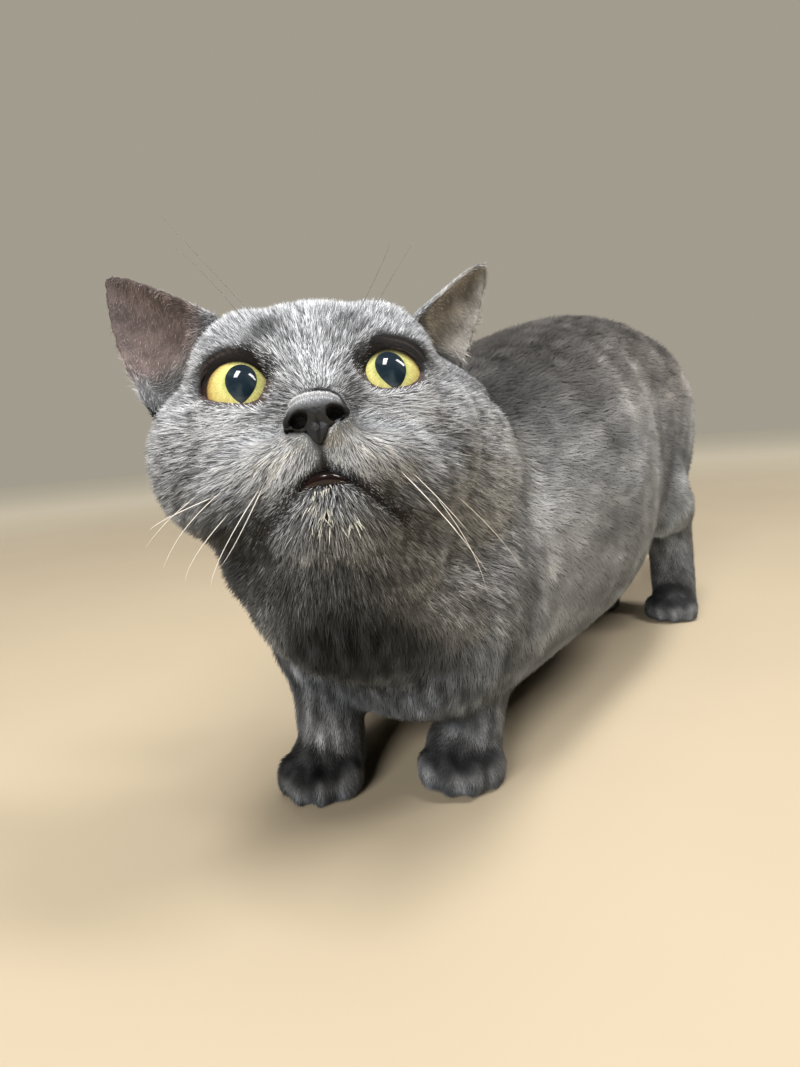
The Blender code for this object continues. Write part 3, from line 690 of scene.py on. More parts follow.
# Coat: every tuft is a closed sliver of four triangles that leans along the lie
coatForm = {
    # for each zone: tufts a square millimetre, length and width in millimetres, lift in degrees, and how
    # much one tuft differs from the next in brightness
    "face": (5.2, 3.7, 0.28, 19, 0.50),
    "nape": (2.1, 4.4, 0.40, 20, 0.25),
    "body": (1.24, 5.0, 0.54, 23, 0.07),
    "leg": (1.55, 4.0, 0.46, 19, 0.08),
    "paw": (2.4, 2.6, 0.34, 16, 0.12),
    "ear": (5.0, 1.7, 0.22, 9, 0.35)}
zones = {
    "face": headShare(head) * (1 - smoothStep(head[:, 1], 18, 34)),
    "nape": headShare(head) * smoothStep(head[:, 1], 18, 34),
    "paw": onPaw * (1 - onHead),
    "leg": onLeg * (1 - onPaw) * (1 - onHead)}
zones["body"] = np.clip(1 - sum(zones.values()), 0, 1)
coat = sum(zones[name][:, None] * np.array(coatForm[name]) for name in zones)
coat = coat + (np.array(coatForm["ear"]) - coat) * onEar[:, None]
density, length, width, lift, spread = coat.T
far = np.clip((skinPoints[:, 1] + 0.10) / 0.25, 0, 1)
density = density * (1 - 0.25 * far * (1 - onHead))
nearNose = spot(head, (0, -18, -12), (10, 14, 9))
bridge = spot(head, (0, -8, 2), (9, 16, 16))
chin = spot(head, (0, -10, -40), (14, 16, 8))
length = length * (1 - 0.45 * nearNose - 0.25 * bridge + 0.45 * chin)
clearLip = np.minimum(lipDistance, 3.4 * (mouthGap(head) - 0.8) + 0.8)
length = length * (0.35 + 0.65 * smoothStep(lidClear, 0.2, 3.5))
length = length * (0.22 + 0.78 * smoothStep(clearLip, 0.8, 5.0))
length = length * np.where(head[:, 1] < -8, 0.35 + 0.65 * smoothStep(philtrumGap(head), 0.3, 2.5), 1)
besideNose = (1 - smoothStep(noseGap, 0.3, 4.5)) * (head[:, 1] < -8)
besideEar = (earShare(head, -0.35, 0.0) - onEar).clip(0, 1)
length = length * (1 - 0.7 * besideNose) * (1 - 0.45 * besideEar)
lift = lift * (1 - 0.4 * besideNose) * (1 - 0.4 * besideEar)
ruff = spot(head, (0, 10, -70), (46, 40, 24)) * (1 - onHead)
length, lift, spread = length * (1 + 0.35 * ruff), lift + 8 * ruff, spread + 0.14 * ruff + 0.35 * chin
lift, width = lift + 14 * chin, width * (1 + 0.4 * chin)
cheekPad = np.maximum(*(spot(head, (out * 12, -12, -24), (14, 16, 9)) for out in (-1, 1)))
spread = spread + 0.16 * cheekPad
covered = smoothStep(lidClear, -0.1, 0.5) * smoothStep(clearLip, 0.6, 1.3)
density = density * np.where(head[:, 1] < 8, covered, 1)
density = density * np.where(head[:, 1] < -10, smoothStep(noseGap, -0.2, 0.4), 1)
density = density * (1 - 0.60 * earInner) * (skinPoints[:, 2] > 0.0006)
skinTone = skinTone * (1 - 0.35 * besideEar[:, None])
skinTone = skinTone + (1.6 * earTone - skinTone) * 0.85 * earInner[:, None]
skinTone = skinTone + (0.42 - skinTone) * 0.7 * earEdge[:, None]
length = length * (1 + 0.5 * np.maximum(earEdge, earInner))
streaked = onHead * (1 + 0.6 * cheekPad)
fields = np.column_stack([skinNormals, skinLie, skinTone, length, width, lift, spread, streaked])


def scattered(points, fields, triangles, density, seed):
    # roots spread over the triangles by area times density; gives each root's place and its own fields
    draw = np.random.default_rng(seed)
    a, b, c = (points[triangles[:, k]] for k in range(3))
    area = np.linalg.norm(np.cross(b - a, c - a), axis=1) / 2 * 1e6
    wanted = area * density[triangles].mean(1)
    total = int(wanted.sum())
    places = (np.arange(total) + draw.random(total)) * wanted.sum() / total
    picked = np.minimum(np.searchsorted(np.cumsum(wanted), places), len(triangles) - 1)
    u, v = draw.random((2, total))
    flip = u + v > 1
    u, v = np.where(flip, 1 - u, u), np.where(flip, 1 - v, v)
    weights = np.stack([1 - u - v, u, v], 1)[..., None]
    return [(values[triangles[picked]] * weights).sum(1) for values in (points, fields)]


def zoneCharts(points):
    # each coat piece's name for each root, and its place on an unwrap of the skin by that part's own axis
    head = toHead(points)
    onHead, onEar = headShare(head) > 0.5, earShare(head) > 0.35
    ball = head - np.array((0, 22, -4))
    ray = unit(ball)
    polar = np.arccos(np.clip(-ray[:, 1], -1, 1))
    turn = np.arctan2(ray[:, 2], ray[:, 0])
    fromTrunk = points - trunkMiddle
    gap, where = alongPath(points, tailLine)
    names = np.full(len(points), "", dtype=object)
    chart = np.stack([np.arctan2(fromTrunk[:, 2], np.abs(fromTrunk[:, 0])), points[:, 1]], 1)
    left = fromTrunk[:, 0] > 0
    bands = np.digitize(points[:, 1], (-0.150, -0.085, -0.02, 0.045, 0.10))
    for band in range(6):
        names[(bands == band) & left] = f"coatTrunkLeft{band}"
        names[(bands == band) & ~left] = f"coatTrunkRight{band}"
    legs = points[:, 2] < 0.055
    for name, middle in pawMiddles.items():
        close = legs & (np.linalg.norm(points[:, :2] - middle[:2], axis=1) < 0.055)
        close &= (points[:, 0] - trunkMiddle[0] > 0) == (middle[0] > 0)
        names[close] = "coat" + name.title().replace("_", "")
        local = points - middle
        chart[close] = np.stack([np.arctan2(local[:, 1], local[:, 0]), points[:, 2]], 1)[close]
    tail = (gap < 0.021) & (where > 0.15)
    names[tail] = "coatTail"
    tailOff = points - tailPath(np.clip(where, 0, 1))
    chart[tail] = np.stack([np.arctan2(tailOff[:, 2], tailOff[:, 0]), where], 1)[tail]
    disc = np.stack([polar * np.cos(turn), polar * np.sin(turn)], 1)
    chart[onHead] = disc[onHead]
    ring = np.digitize(polar, (0.62, 1.15))
    for number, ringName in enumerate(("Muzzle", "Face", "Nape")):
        for upper, level in ((True, "Upper"), (False, "Lower")):
            for right, side in ((True, "Right"), (False, "Left")):
                names[onHead & (ring == number) & ((head[:, 2] > -4) == upper)
                      & ((head[:, 0] < 0) == right)] = f"coat{ringName}{level}{side}"
    for out, side in ((-1, "Right"), (1, "Left")):
        ear = onEar & (head[:, 0] * out > 0)
        up = unit(np.array(earTips[out]) - np.array(earBases[out]))
        across = unit(np.cross(up, earBack[out]))
        names[ear] = f"coatEar{side}"
        local = head - np.array(earBases[out])
        chart[ear] = np.stack([local @ across + 45 * (local @ earBack[out] > 0), local @ up], 1)[ear]
    return names, chart


def streaks(head):
    # locks that run out from the nose: waves in the angle round it, slow along the way out
    local = head - np.array((0, 0, -13))
    angle = np.arctan2(local[:, 2], local[:, 0])
    away = np.linalg.norm(local, axis=1)
    lanes = np.stack([22 * np.cos(angle), 22 * np.sin(angle), away / 4.0], 1)
    sizes = ((0.55, 1.5), (0.6, 0.8), (0.6, 0.45))
    return sum(share * ripple(lanes, size, 51 + number, 14) for number, (share, size) in enumerate(sizes))


# Tufts: how much they swing aside and differ in lift, length and width, how deep they are rooted in metres
# and as a share of their width, a point's least height over the floor in metres, the brightest tone, and how
# strong the streaks are
tuftForm = {"swing": 0.16, "lift": (0.45, 1.6), "length": (0.7, 1.25), "width": (0.7, 1.3), "sunk": 0.0003,
            "depth": 0.7, "least": 0.0003, "brightest": 0.92, "streaks": 0.50}


def sliver(roots, fields, seed):
    # root corners left and right and one below, and a tip at root + length (cos lift lie + sin lift normal)
    draw = np.random.default_rng(seed)
    normal, lie, tone = unit(fields[:, :3]), fields[:, 3:6], fields[:, 6:9]
    long, wide, lifted = fields[:, 9:10] / 1000, fields[:, 10:11] / 1000, np.radians(fields[:, 11:12])
    count = len(roots)
    lie = unit(lie - (lie * normal).sum(1, keepdims=True) * normal)
    side = np.cross(normal, lie)
    swing = draw.normal(0, tuftForm["swing"], (count, 1))
    lie = unit(lie + swing * side)
    side = np.cross(normal, lie)
    lifted = lifted * draw.uniform(*tuftForm["lift"], (count, 1))
    long = long * draw.uniform(*tuftForm["length"], (count, 1))
    wide = wide * draw.uniform(*tuftForm["width"], (count, 1))
    tip = roots + long * (np.cos(lifted) * lie + np.sin(lifted) * normal)
    sunk = roots - normal * tuftForm["sunk"]
    below = sunk - normal * wide * tuftForm["depth"]
    body = np.stack([sunk - side * wide / 2, sunk + side * wide / 2, below, tip], 1)
    body[:, :, 2] = np.maximum(body[:, :, 2], tuftForm["least"])
    uneven, onHead = fields[:, 12:13], fields[:, 13:14]
    amount = uneven * draw.normal(0, 1, (count, 1))
    amount = amount + tuftForm["streaks"] * onHead * streaks(toHead(roots))[:, None]
    tone = tone * np.exp(amount - uneven ** 2 / 2)
    # roots darker and tips lighter: partly the coat's own silver tips, partly painted shade deep in the coat
    shades = np.stack([tone * (1 - 1.3 * uneven).clip(0.2)] * 3 + [tone * (1 + 1.5 * uneven)], 1)
    # shading normals: the skin's own, rolled over to each side of the tuft
    roll = 0.45 + 0.35 * onHead
    turned = np.stack([normal - roll * side, normal + roll * side, normal, normal + 0.25 * lie], 1)
    # a shade that would be too bright is scaled down whole, which keeps its hue
    shades = shades / (shades.max(-1, keepdims=True) / tuftForm["brightest"]).clip(1)
    return body.reshape(-1, 3), shades.reshape(-1, 3), unit(turned).reshape(-1, 3)


furPaint = Paint("coatFur", Roughness=0.6, Specular_IOR_Level=0.12)
furPaint.set(Base_Color=furPaint.tone("coatTone"))
tuftFaces = np.array([(0, 3, 1), (1, 3, 2), (2, 3, 0), (0, 1, 2)])
tuftPatch = np.array([(-0.0015, -0.0015), (0.0015, -0.0015), (0, -0.0008), (0, 0.0015)])


def addTufts(name, roots, fields, chart, seed):
    # one coat piece: a sliver at each root, its patch on the unwrap, and its tone
    low, high = chart.min(0), chart.max(0)
    chart = 0.004 + 0.992 * (chart - low) / (high - low)
    points, shades, turned = sliver(roots, fields, seed)
    faces = (np.arange(len(roots))[:, None, None] * 4 + tuftFaces).reshape(-1, 3)
    piece = addPiece(name, points, faces, furPaint.material, normals=turned)
    paintPoints(piece, "coatTone", shades)
    setMap(piece, "OFBake", np.clip((chart[:, None] + tuftPatch).reshape(-1, 2)[faces.ravel()], 0, 1))
    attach(piece, "root")
    print("coat:", name, len(faces), "triangles")
    return len(faces)


rootPoints, rootFields = scattered(skinPoints, fields, skinTriangles, density, 11)
rootNames, rootCharts = zoneCharts(rootPoints)
coatTotal = 0
for number, name in enumerate(sorted(set(rootNames))):
    mine = rootNames == name
    coatTotal += addTufts(name, rootPoints[mine], rootFields[mine], rootCharts[mine], 100 + number)
print("coat: all", coatTotal, "triangles")

# Eyes: a ball with a slightly fuller clear front, the iris and the pointed pupil painted by its own map
eyeForm = {"rings": 72, "sides": 96, "frontAhead": 1.5, "frontRadius": 9.9, "iris": 9.5,
           "pupilHalf": 4.15, "pupilTop": 5.4, "pupilFoot": 6.0, "turnIn": {-1: 1.05, 1: 0.15},
           "tilt": {-1: 0.07, 1: -0.11}}


def ballRadius(t):
    # how far the eye's surface is from its centre at the angle t from its axis
    ahead, front = eyeForm["frontAhead"], eyeForm["frontRadius"]
    reach = ahead * np.cos(t) + np.sqrt(front ** 2 - (ahead * np.sin(t)) ** 2)
    larger = np.logaddexp(8 * reach, 8 * eyeRadius) / 8
    return larger - np.log(2) / 8 * np.exp(-2 * (reach - eyeRadius) ** 2)


def eyeBall(out, centre):
    # latitude t from the front pole; the radius is the larger of the ball's and the clear front's
    t = np.linspace(0, np.pi, eyeForm["rings"])[1:-1, None]
    a = np.linspace(0, 2 * np.pi, eyeForm["sides"], endpoint=False)[None, :]
    radius = ballRadius(t)
    across, upward = radius * np.sin(t) * np.cos(a), radius * np.sin(t) * np.sin(a)
    ring = np.stack([across, -radius * np.cos(t) + 0 * a, upward], -1)
    front, back = (0, -float(ballRadius(0)), 0), (0, eyeRadius, 0)
    local = np.concatenate([ring.reshape(-1, 3), [front, back]])
    return local, centre + local @ headAxes.T / 1000, capped(*ring.shape[:2])


eyePaint = Paint("eye", Roughness=0.6, Specular_IOR_Level=0.05, Coat_Weight=1.0, Coat_Roughness=0.0,
                 Coat_IOR=1.38)
gaze = eyePaint.node("ShaderNodeUVMap", {"uv_map": "gaze"})
split = eyePaint.node("ShaderNodeSeparateXYZ", {}, {0: gaze})
gazeX = (Wire(eyePaint, split.socket.node.outputs[0]) - 0.5) * 24
gazeZ = (Wire(eyePaint, split.socket.node.outputs[1]) - 0.5) * 24
reach = (gazeX * gazeX + gazeZ * gazeZ) ** 0.5
upper = (1 - (gazeZ.atLeast(0.0) / eyeForm["pupilTop"]) ** 2).atLeast(0.0) ** 0.5
lower = (1 - (((0 - gazeZ).atLeast(0.0)) / eyeForm["pupilFoot"]) ** 1.8).atLeast(0.0) ** 0.72
pupilEdge = upper * lower * eyeForm["pupilHalf"] - gazeX.abs()
pupil = pupilEdge.step(-0.12, 0.14)
# the iris: fine spokes, and rings of colour from the pupil out to its dark edge
bearing = eyePaint.node("ShaderNodeMath", {"operation": "ARCTAN2"}, {0: gazeZ, 1: gazeX}) * 7.0
spokes = eyePaint.node("ShaderNodeCombineXYZ", {}, {0: bearing, 1: reach * 0.35, 2: 0.0})
fibre = eyePaint.noise(2.2, 4.0, 0.6, spokes)
irisStops = [(0.0, (0.34, 0.42, 0.13)), (0.40, (0.55, 0.60, 0.18)), (0.55, (0.90, 0.87, 0.33)),
             (0.80, (0.94, 0.80, 0.28)), (1.0, (0.52, 0.30, 0.09))]
irisRing = eyePaint.node("ShaderNodeValToRGB", {"stops": irisStops}, {0: reach / eyeForm["iris"]})
irisColour = eyePaint.scaled(irisRing, 0.13 + fibre * 0.90)
# the upper lid's painted shadow on the iris
lidShade = eyePaint.node("ShaderNodeSeparateColor", {}, {0: eyePaint.tone("lidShade")})
irisColour = eyePaint.scaled(irisColour, lidShade)
beyondIris = reach.step(eyeForm["iris"] - 0.35, eyeForm["iris"] + 0.35)
eyeColour = eyePaint.blend(beyondIris, irisColour, (0.035, 0.022, 0.018))
# a painted reflection: pale clouds in the dark pupil
wide = eyePaint.node("ShaderNodeVectorMath", {"operation": "SCALE"}, {0: gaze, 3: 24.0})
pupilReflection = eyePaint.noise(0.20, 2.0, 0.5, wide).step(0.42, 0.75)
deep = eyePaint.blend(pupilReflection, (0.006, 0.013, 0.020), (0.034, 0.048, 0.058))
eyeColour = eyePaint.blend(pupil, eyeColour, deep)
eyePaint.set(Base_Color=eyeColour)
for out, name, centre in ((-1, "eyeRight", eyeCentres[0]), (1, "eyeLeft", eyeCentres[1])):
    local, points, faces = eyeBall(out, centre + headAxes[:, 0] * eyeShift / 1000)
    piece = addPiece(name, points, faces, eyePaint.material)
    look = local[:, [0, 2]] - (eyeForm["turnIn"][out], 0) - local[:, 2:] * np.array((eyeForm["tilt"][out], 0))
    setMap(piece, "gaze", (look / 24 + 0.5)[faces.ravel()])
    # painted shadow of the upper lid: the iris is darker from the lid's edge down
    form, across = lidForm[out], (local[:, 0] + eyeMiddles[out]) * out - lidForm[out]["centre"]
    power = lidForm["power"]
    arch = (1 - (np.abs(across) / form["half"]).clip(0, 1) ** power) ** (1 / power)
    under = lidForm["level"] + form["slope"] * across + form["above"] * arch - local[:, 2]
    lifted = smoothStep(across, 0, 7) * (out < 0)
    shade = 0.05 + 0.95 * smoothStep(under, 1.5 - 1.3 * lifted, 5.1 - 2.9 * lifted)
    paintPoints(piece, "lidShade", np.repeat(shade[:, None], 3, 1))
    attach(piece, "root")
    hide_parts("eye_right" if out < 0 else "eye_left")

# Lid rims: bare dark edges that lie on the eyeball round the almond opening
lidPaint = Paint("lidRim", Roughness=0.65, Specular_IOR_Level=0.2)
lidPaint.set(Base_Color=lidPaint.scaled(lidPaint.tone("lidTone"), 0.6 + 0.8 * lidPaint.noise(700.0)))
for out, name in ((-1, "lidRimRight"), (1, "lidRimLeft")):
    form = lidForm[out]
    t = np.linspace(0, 2 * np.pi, lidForm["steps"], endpoint=False)
    curve = 2 / lidForm["power"]
    across = form["half"] * np.sign(np.cos(t)) * np.abs(np.cos(t)) ** curve
    tall = np.where(np.sin(t) > 0, form["above"], form["below"])
    rise = tall * np.sign(np.sin(t)) * np.abs(np.sin(t)) ** curve
    x, z = out * (form["centre"] + across), lidForm["level"] + rise + form["slope"] * across
    flatness = np.clip((x - eyeMiddles[out]) ** 2 + z ** 2, 0, 112)
    y = -np.sqrt((eyeRadius + lidForm["stand"]) ** 2 - flatness)
    thick = lidForm["lower"] + (lidForm["upper"] - lidForm["lower"]) * smoothStep(np.sin(t), 0.0, 0.6)
    path = np.stack([x, y, z], 1)
    along = unit(np.roll(path, -1, 0) - np.roll(path, 1, 0))
    outward = unit(path - np.array((eyeMiddles[out], 0, 0)))
    side = np.cross(along, outward)
    angle = np.linspace(0, 2 * np.pi, 10, endpoint=False)[None, :, None]
    turn = np.cos(angle) * side[:, None] + 0.6 * np.sin(angle) * outward[:, None]
    rings = path[:, None] + thick[:, None, None] * turn
    index = np.arange(len(t) * 10).reshape(len(t), 10)
    nextRow = np.roll(index, -1, 0)
    quads = np.stack([index, np.roll(index, -1, 1), np.roll(nextRow, -1, 1), nextRow], -1).reshape(-1, 4)
    if out > 0:
        quads = quads[:, ::-1]
    piece = addPiece(name, fromHead(rings.reshape(-1, 3)), quads, lidPaint.material)
    # the rims: dark above, partly the lid's own dark edge and partly painted shade under the brow; lighter
    # below
    upperTone, lowerTone = np.array((0.012, 0.008, 0.007)), np.array((0.085, 0.058, 0.052))
    rimTone = lowerTone + (upperTone - lowerTone) * smoothStep(np.sin(t), -0.35, 0.25)[:, None]
    paintPoints(piece, "lidTone", np.repeat(rimTone, 10, 0))
    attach(piece, "root")

# Nose leather: a pad fused from round masses, with the nostrils, their slits and the groove pressed in
nosePaint = Paint("noseLeather", Specular_IOR_Level=0.28, Coat_Weight=0.08, Coat_Roughness=0.35)
pebble = nosePaint.node("ShaderNodeTexVoronoi", {"feature": "F1"},
                        {"Vector": nosePaint.place(), "Scale": 1500.0})
noseNoise = nosePaint.noise(500.0, 4.0)
noseColour = nosePaint.blend(nosePaint.tone("leather"), (0.0025, 0.0025, 0.003), (0.175, 0.182, 0.194))
nosePaint.set(Base_Color=noseColour, Roughness=0.42 + 0.25 * noseNoise)
nosePaint.bump(pebble, 0.6, 0.00022)
noseMasses = [((0, -20.5, -17), (7.6, 4.4, 4.4)), ((0, -19.6, -21.6), (4, 4.2, 4.6)),
              ((0, -18.8, -13.8), (6.8, 4.2, 3.4)), ((-5.2, -19.8, -18.1), (3.4, 3.8, 3.2)),
              ((5.2, -19.8, -18.1), (3.4, 3.8, 3.2))]
headMatrix = Matrix.Translation(headAt) @ Matrix(headAxes.tolist()).to_4x4()
noseClay = bmesh.new()
for (x, y, z), radii in noseMasses:
    place = Matrix.Translation(Vector((x - 1.3, y, z + 0.12 * x)) / 1000)
    size = Matrix.Diagonal((*(radius / 1000 for radius in radii), 1))
    mass = headMatrix @ place @ size
    bmesh.ops.create_uvsphere(noseClay, u_segments=24, v_segments=16, radius=1, matrix=mass)
noseMesh = bpy.data.meshes.new("nose")
noseClay.to_mesh(noseMesh)
noseClay.free()
noseMesh = modified(noseMesh, "REMESH", mode="VOXEL", voxel_size=0.00028)
nosePoints, noseFaces = pointsOf(noseMesh), trianglesOf(noseMesh)
nosePoints = softened(nosePoints, edgesOf(noseMesh), np.full(len(nosePoints), 0.5), 5)
noseHead = toHead(nosePoints)
front = smoothStep(-noseHead[:, 1], 16, 18.5)
wide, level = inNose(noseHead)
centre, wide = wide, np.abs(wide)
hole = 1 - smoothStep(np.sqrt(((wide - 4.5) / 2.25) ** 2 + ((level + 18.45) / 2.05) ** 2), 0.75, 1.08)
slitGap, along = alongPath(np.stack([wide, level], 1), [(4.5, -18.6), (6.9, -18.7), (9.4, -17.9)])
slit = 1 - smoothStep(slitGap / (1.15 - 0.55 * along), 0.55, 1.05)
groove = np.exp(-(centre / 0.42) ** 2) * smoothStep(-level, 18.5, 20)
outside = smoothStep(noseEdge(noseHead), -0.4, 1.3)
noseHead[:, 1] += front * (3.4 * hole + 1.6 * slit * (1 - hole) + 0.55 * groove)
noseHead = noseHead + (front * outside)[:, None] * np.array((0, 5.0, 2.7))
nosePoints = fromHead(noseHead)
nosePiece = addPiece("noseLeather", nosePoints, noseFaces, nosePaint.material)
stipple = 0.5 * ripple(nosePoints, 0.0012, 81) + 0.5 * ripple(nosePoints, 0.0006, 82)
# the leather, lighter towards the top and stippled and darker along the groove, with painted shade that turns
# the nostrils and their slits near black; the leather attribute carries both the tone and the painted shade
noseShade = (0.075 + 1.20 * smoothStep(level, -17.2, -12.5) * (1 + 0.45 * stipple)) * (1 - 0.6 * groove)
noseShade = (noseShade * (1 - smoothStep(np.maximum(hole, slit), 0, 0.5))).clip(0, 1)
paintPoints(nosePiece, "leather", np.repeat(noseShade[:, None], 3, 1))
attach(nosePiece, "root")
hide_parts("nose")

# Fine short hairs run down over the leather's upper edge
noseNormals = normalsOf(nosePoints, noseFaces)
fringe = 14.0 * smoothStep(level, -16.4, -12.0) * (noseHead[:, 1] < -14) * (outside < 0.6)
upward = np.tile(headAxes @ np.array((0, 0.3, 1.0)), (len(nosePoints), 1))
fringeTone = np.repeat(0.50 * np.exp(0.3 * stipple)[:, None], 3, 1)
steady = np.tile(np.array((1.0, 0.14, 16, 0.45, 0.5)), (len(nosePoints), 1))
fringeFields = np.column_stack([noseNormals, upward, fringeTone, steady])
roots, own = scattered(nosePoints, fringeFields, noseFaces, fringe, 21)
addTufts("coatNoseTop", roots, own, toHead(roots)[:, [0, 2]], 90)

# Lips: the moist lower lip in front, thinning into the two corners
lipPaint = Paint("lip", Roughness=0.3, Specular_IOR_Level=0.2, Coat_Weight=0.5, Coat_Roughness=0.06)
lipPaint.set(Base_Color=lipPaint.blend(lipPaint.noise(600.0), (0.004, 0.002, 0.002), (0.016, 0.008, 0.007)))
t = np.linspace(-1, 1, 41)[:, None]
lowerLip = np.array((-0.6, -14.4, -31.8)) + t * np.array((6.3, 0, 0)) + t ** 2 * np.array((0.0, 2.6, -1.7))
points, faces = tube(fromHead(lowerLip), (0.25 + 1.70 * np.sqrt(1 - t[:, 0] ** 2)) / 1000, 14)
lipPiece = addPiece("lowerLip", points, faces, lipPaint.material)
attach(lipPiece, "root")
print("face pieces made")

# Whiskers: tapered hairs, each a curve through its root, a middle and a tip in the head's axes
whiskerForm = {"root": 0.13, "tip": 0.02, "steps": 18, "browShare": 0.8, "pastSolids": 0.004}
whiskerRows = [
    ((15, -12, -26), (32.4, -2.2, -45.8), (42.9, 6.9, -60.3)),
    ((16, -11, -24), (36.5, 3.2, -44.7), (47.9, 15.3, -62.2)),
    ((17, -10, -27.5), (42.8, 14.7, -55), (57.7, 41.1, -80.2)),
    ((18, -9, -22.5), (44, 20.2, -35), (62, 46, -48)),
    ((21, -6, -19), (34, -0.1, -21.6), (42, 6, -21.4)),
    ((19, -8, -25), (35, 8, -42), (44, 26, -58)),
    ((-19, -7, -27), (-39.4, -1.2, -31.4), (-47.7, 0.7, -34.8)),
    ((-15, -12, -28), (-23.7, -5.7, -40.4), (-29.4, -3, -47.5)),
    ((-17, -10, -24), (-35, -2, -33), (-46, 6, -44)),
    ((-18, -9, -22), (-38, 2, -28), (-52, 12, -36)),
    ((-16, -11, -29), (-28, -4, -43), (-33, 0, -52)),
    ((-20, -6, -29), (-35, 3, -40), (-41, 8, -48))]
browRows = [
    ((-13, -3, 21), (-29.5, -7.1, 43.3), (-38.6, -9.6, 55.6)),
    ((13, -3, 21), (22.2, -8.4, 34.2), (25.6, -10.7, 41)),
    ((-16, -2, 20), (-27, -6, 36), (-36, -8, 46)),
    ((16, -2, 20), (26, -6, 33), (33, -8, 42))]


def whisker(start, middle, tip, share=1.0):
    # a quadratic curve that passes through the middle point halfway along
    start, middle, tip = (np.array(point, dtype=float) for point in (start, middle, tip))
    bend = 2 * middle - (start + tip) / 2
    for end in (1.0, 0.9, 0.8, 0.7, 0.6, 0.5):
        # shortened until it stays within the solids' reach to the side
        t = np.linspace(0, end, whiskerForm["steps"])[:, None]
        path = (1 - t) ** 2 * start + 2 * t * (1 - t) * bend + t ** 2 * tip
        if fromHead(path)[:, 0].max() < cadBox[1][0] + whiskerForm["pastSolids"]:
            break
    t = t / end
    radii = share * whiskerForm["root"] * (1 - t[:, 0]) ** 0.7 + whiskerForm["tip"]
    return tube(fromHead(path), radii / 1000, 6)


def joinTubes(tubes):
    points, faces, total = [], [], 0
    for some, corners in tubes:
        points.append(some)
        faces.append(corners + total)
        total += len(some)
    return np.concatenate(points), np.concatenate(faces)


whiskerPaint = Paint("whisker", Roughness=0.35, Specular_IOR_Level=0.5, Base_Color=(0.80, 0.79, 0.76, 1))
browPaint = Paint("browWhisker", Roughness=0.4, Specular_IOR_Level=0.4, Base_Color=(0.16, 0.15, 0.14, 1))
white = [whisker(*row) for row in whiskerRows]
dark = [whisker(*row, share=whiskerForm["browShare"]) for row in browRows]

# Chin: damp spiky locks of the fur, each a curved spike that hangs from under the lower lip. A clump has the
# place, the scatter, the number and the length of its locks
draw = np.random.default_rng(8)
damp = []
clumps = [((-1.4, -15.4, -35.2), 1.6, 10, 1.6), ((-3.8, -13.4, -38.5), 1.4, 9, 4.0),
          ((-0.4, -13.2, -39.5), 1.4, 9, 4.4), ((2.6, -11.8, -41.5), 1.6, 8, 4.2),
          ((-1.8, -11.4, -43.0), 2.0, 7, 4.4)]
for place, scatter, count, long in clumps:
    for number in range(count):
        root = np.array(place) + draw.normal(0, scatter, 3) * np.array((1, 0.15, 0.7))
        way = unit(np.array((0.06 * root[0] + draw.normal(0, 0.30), -0.62 + draw.normal(0, 0.15), -1.0)))
        hang = np.array((draw.normal(0, 0.3), 0.25, -0.6))
        t = np.linspace(0, 1, 7)[:, None]
        path = root + draw.uniform(0.7, 1.2) * long * (way * t + 0.35 * hang * t ** 2)
        damp.append(tube(fromHead(path), 0.00023 * (1 - t[:, 0]) ** 0.8 + 0.00003, 5, 0.6))
dampPaint = Paint("dampLocks", Roughness=0.35, Specular_IOR_Level=0.4, Base_Color=(0.44, 0.43, 0.36, 1))
for name, tubes, paint in (("whiskers", white, whiskerPaint), ("browWhiskers", dark, browPaint),
                           ("dampLocks", damp, dampPaint)):
    points, faces = joinTubes(tubes)
    piece = addPiece(name, points, faces, paint.material)
    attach(piece, "root")

# Stage: a plain pale floor, soft studio light and the camera at the photograph's angle
viewForm = {"at": (172, -348, 140), "turn": 38, "down": 7.75, "roll": 4.35, "focal": 680,
            "frame": (800, 1067)}
turn, down, roll = (radians(viewForm[key]) for key in ("turn", "down", "roll"))
ahead = Vector((-np.sin(turn), np.cos(turn), 0))
rightWay = Vector((np.cos(turn), np.sin(turn), 0))
sight = ahead * np.cos(down) - Vector((0, 0, 1)) * np.sin(down)
upWay = ahead * np.sin(down) + Vector((0, 0, 1)) * np.cos(down)
camRight = rightWay * np.cos(roll) - upWay * np.sin(roll)
camUp = upWay * np.cos(roll) + rightWay * np.sin(roll)
cameraAt = Vector(np.array(viewForm["at"]) / 1000 + rowShift * np.array((1, 1, 0)))
lens = bpy.data.cameras.new("view")
lens.sensor_fit = "AUTO"
lens.sensor_width = 36
lens.lens = viewForm["focal"] / viewForm["frame"][1] * 36
lens.clip_start = 0.01
camera = bpy.data.objects.new("view", lens)
camera.matrix_world = Matrix.Translation(cameraAt) @ Matrix((camRight, camUp, -sight)).transposed().to_4x4()
bpy.context.scene.collection.objects.link(camera)
bpy.context.scene.camera = camera

floorPaint = Paint("paleFloor", Roughness=0.55, Specular_IOR_Level=0.3)
floorGrain = floorPaint.noise(6.0, 2.0)
floorPaint.set(Base_Color=floorPaint.blend(floorGrain, (0.47, 0.39, 0.275), (0.52, 0.435, 0.31)))
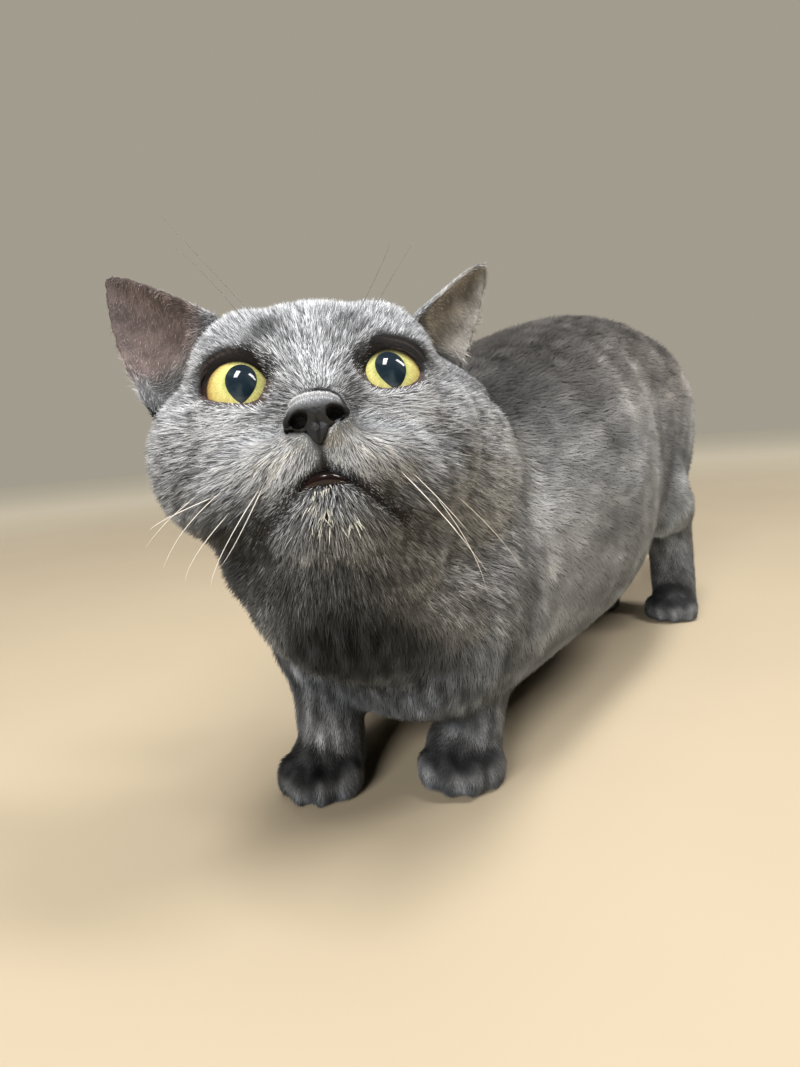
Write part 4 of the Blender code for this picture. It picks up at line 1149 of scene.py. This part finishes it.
# painted light: the floor glows, more and more between 0.55 and 2.4 metres from its middle, which brightens
# the far floor
far = floorPaint.node("ShaderNodeVectorMath", {"operation": "LENGTH"}, {0: floorPaint.place()}, output=1)
floorPaint.set(Emission_Color=floorPaint.blend(far.step(0.55, 2.4), (0, 0, 0), (0.36, 0.33, 0.26)))
floorPaint.shader.inputs["Emission Strength"].default_value = 1.0
floorSize = 6.0
corners = np.array([(-1, -1, 0), (1, -1, 0), (1, 1, 0), (-1, 1, 0)]) * floorSize
floor = addPiece("floor", corners, np.array([(0, 1, 2, 3)]), floorPaint.material, smooth=False)

lights = {
    # from the head: way to the lamp in the camera's axes (right, up, back), distance, width, height, power,
    # colour, and whether it shows in gloss
    "lampLeft": ((-0.13, 0.90, 0.39), 2.4, 0.42, 1.10, 56, (1.0, 0.985, 0.965), True),
    "lampRight": ((0.52, 0.85, 0.22), 2.4, 0.38, 1.00, 35, (1.0, 0.985, 0.965), True),
    "ceiling": ((0.10, 0.97, -0.10), 2.6, 2.0, 2.0, 19, (1.0, 0.985, 0.965), False),
    "front": ((-0.40, 0.22, 0.89), 2.6, 1.0, 1.0, 77, (1.0, 0.988, 0.968), False)}
for name, (way, distance, wide, high, power, colour, gloss) in lights.items():
    lamp = bpy.data.lights.new(name, "AREA")
    lamp.shape = "RECTANGLE"
    lamp.size, lamp.size_y, lamp.energy, lamp.color = wide, high, power, colour
    toLamp = (camRight * way[0] + camUp * way[1] - sight * way[2]).normalized()
    place = Vector(headAt) + toLamp * distance
    item = bpy.data.objects.new(name, lamp)
    item.matrix_world = Matrix.Translation(place) @ toLamp.to_track_quat("Z", "Y").to_matrix().to_4x4()
    item.visible_glossy = gloss
    bpy.context.scene.collection.objects.link(item)
world = bpy.data.worlds.new("studio")
world.use_nodes = True
world.node_tree.nodes["Background"].inputs[0].default_value = (0.98, 0.90, 0.74, 1)
world.node_tree.nodes["Background"].inputs[1].default_value = 0.37
world.cycles_visibility.glossy = False
world.cycles_visibility.diffuse = False
bpy.context.scene.world = world
bpy.context.scene.view_settings.view_transform = "Standard"
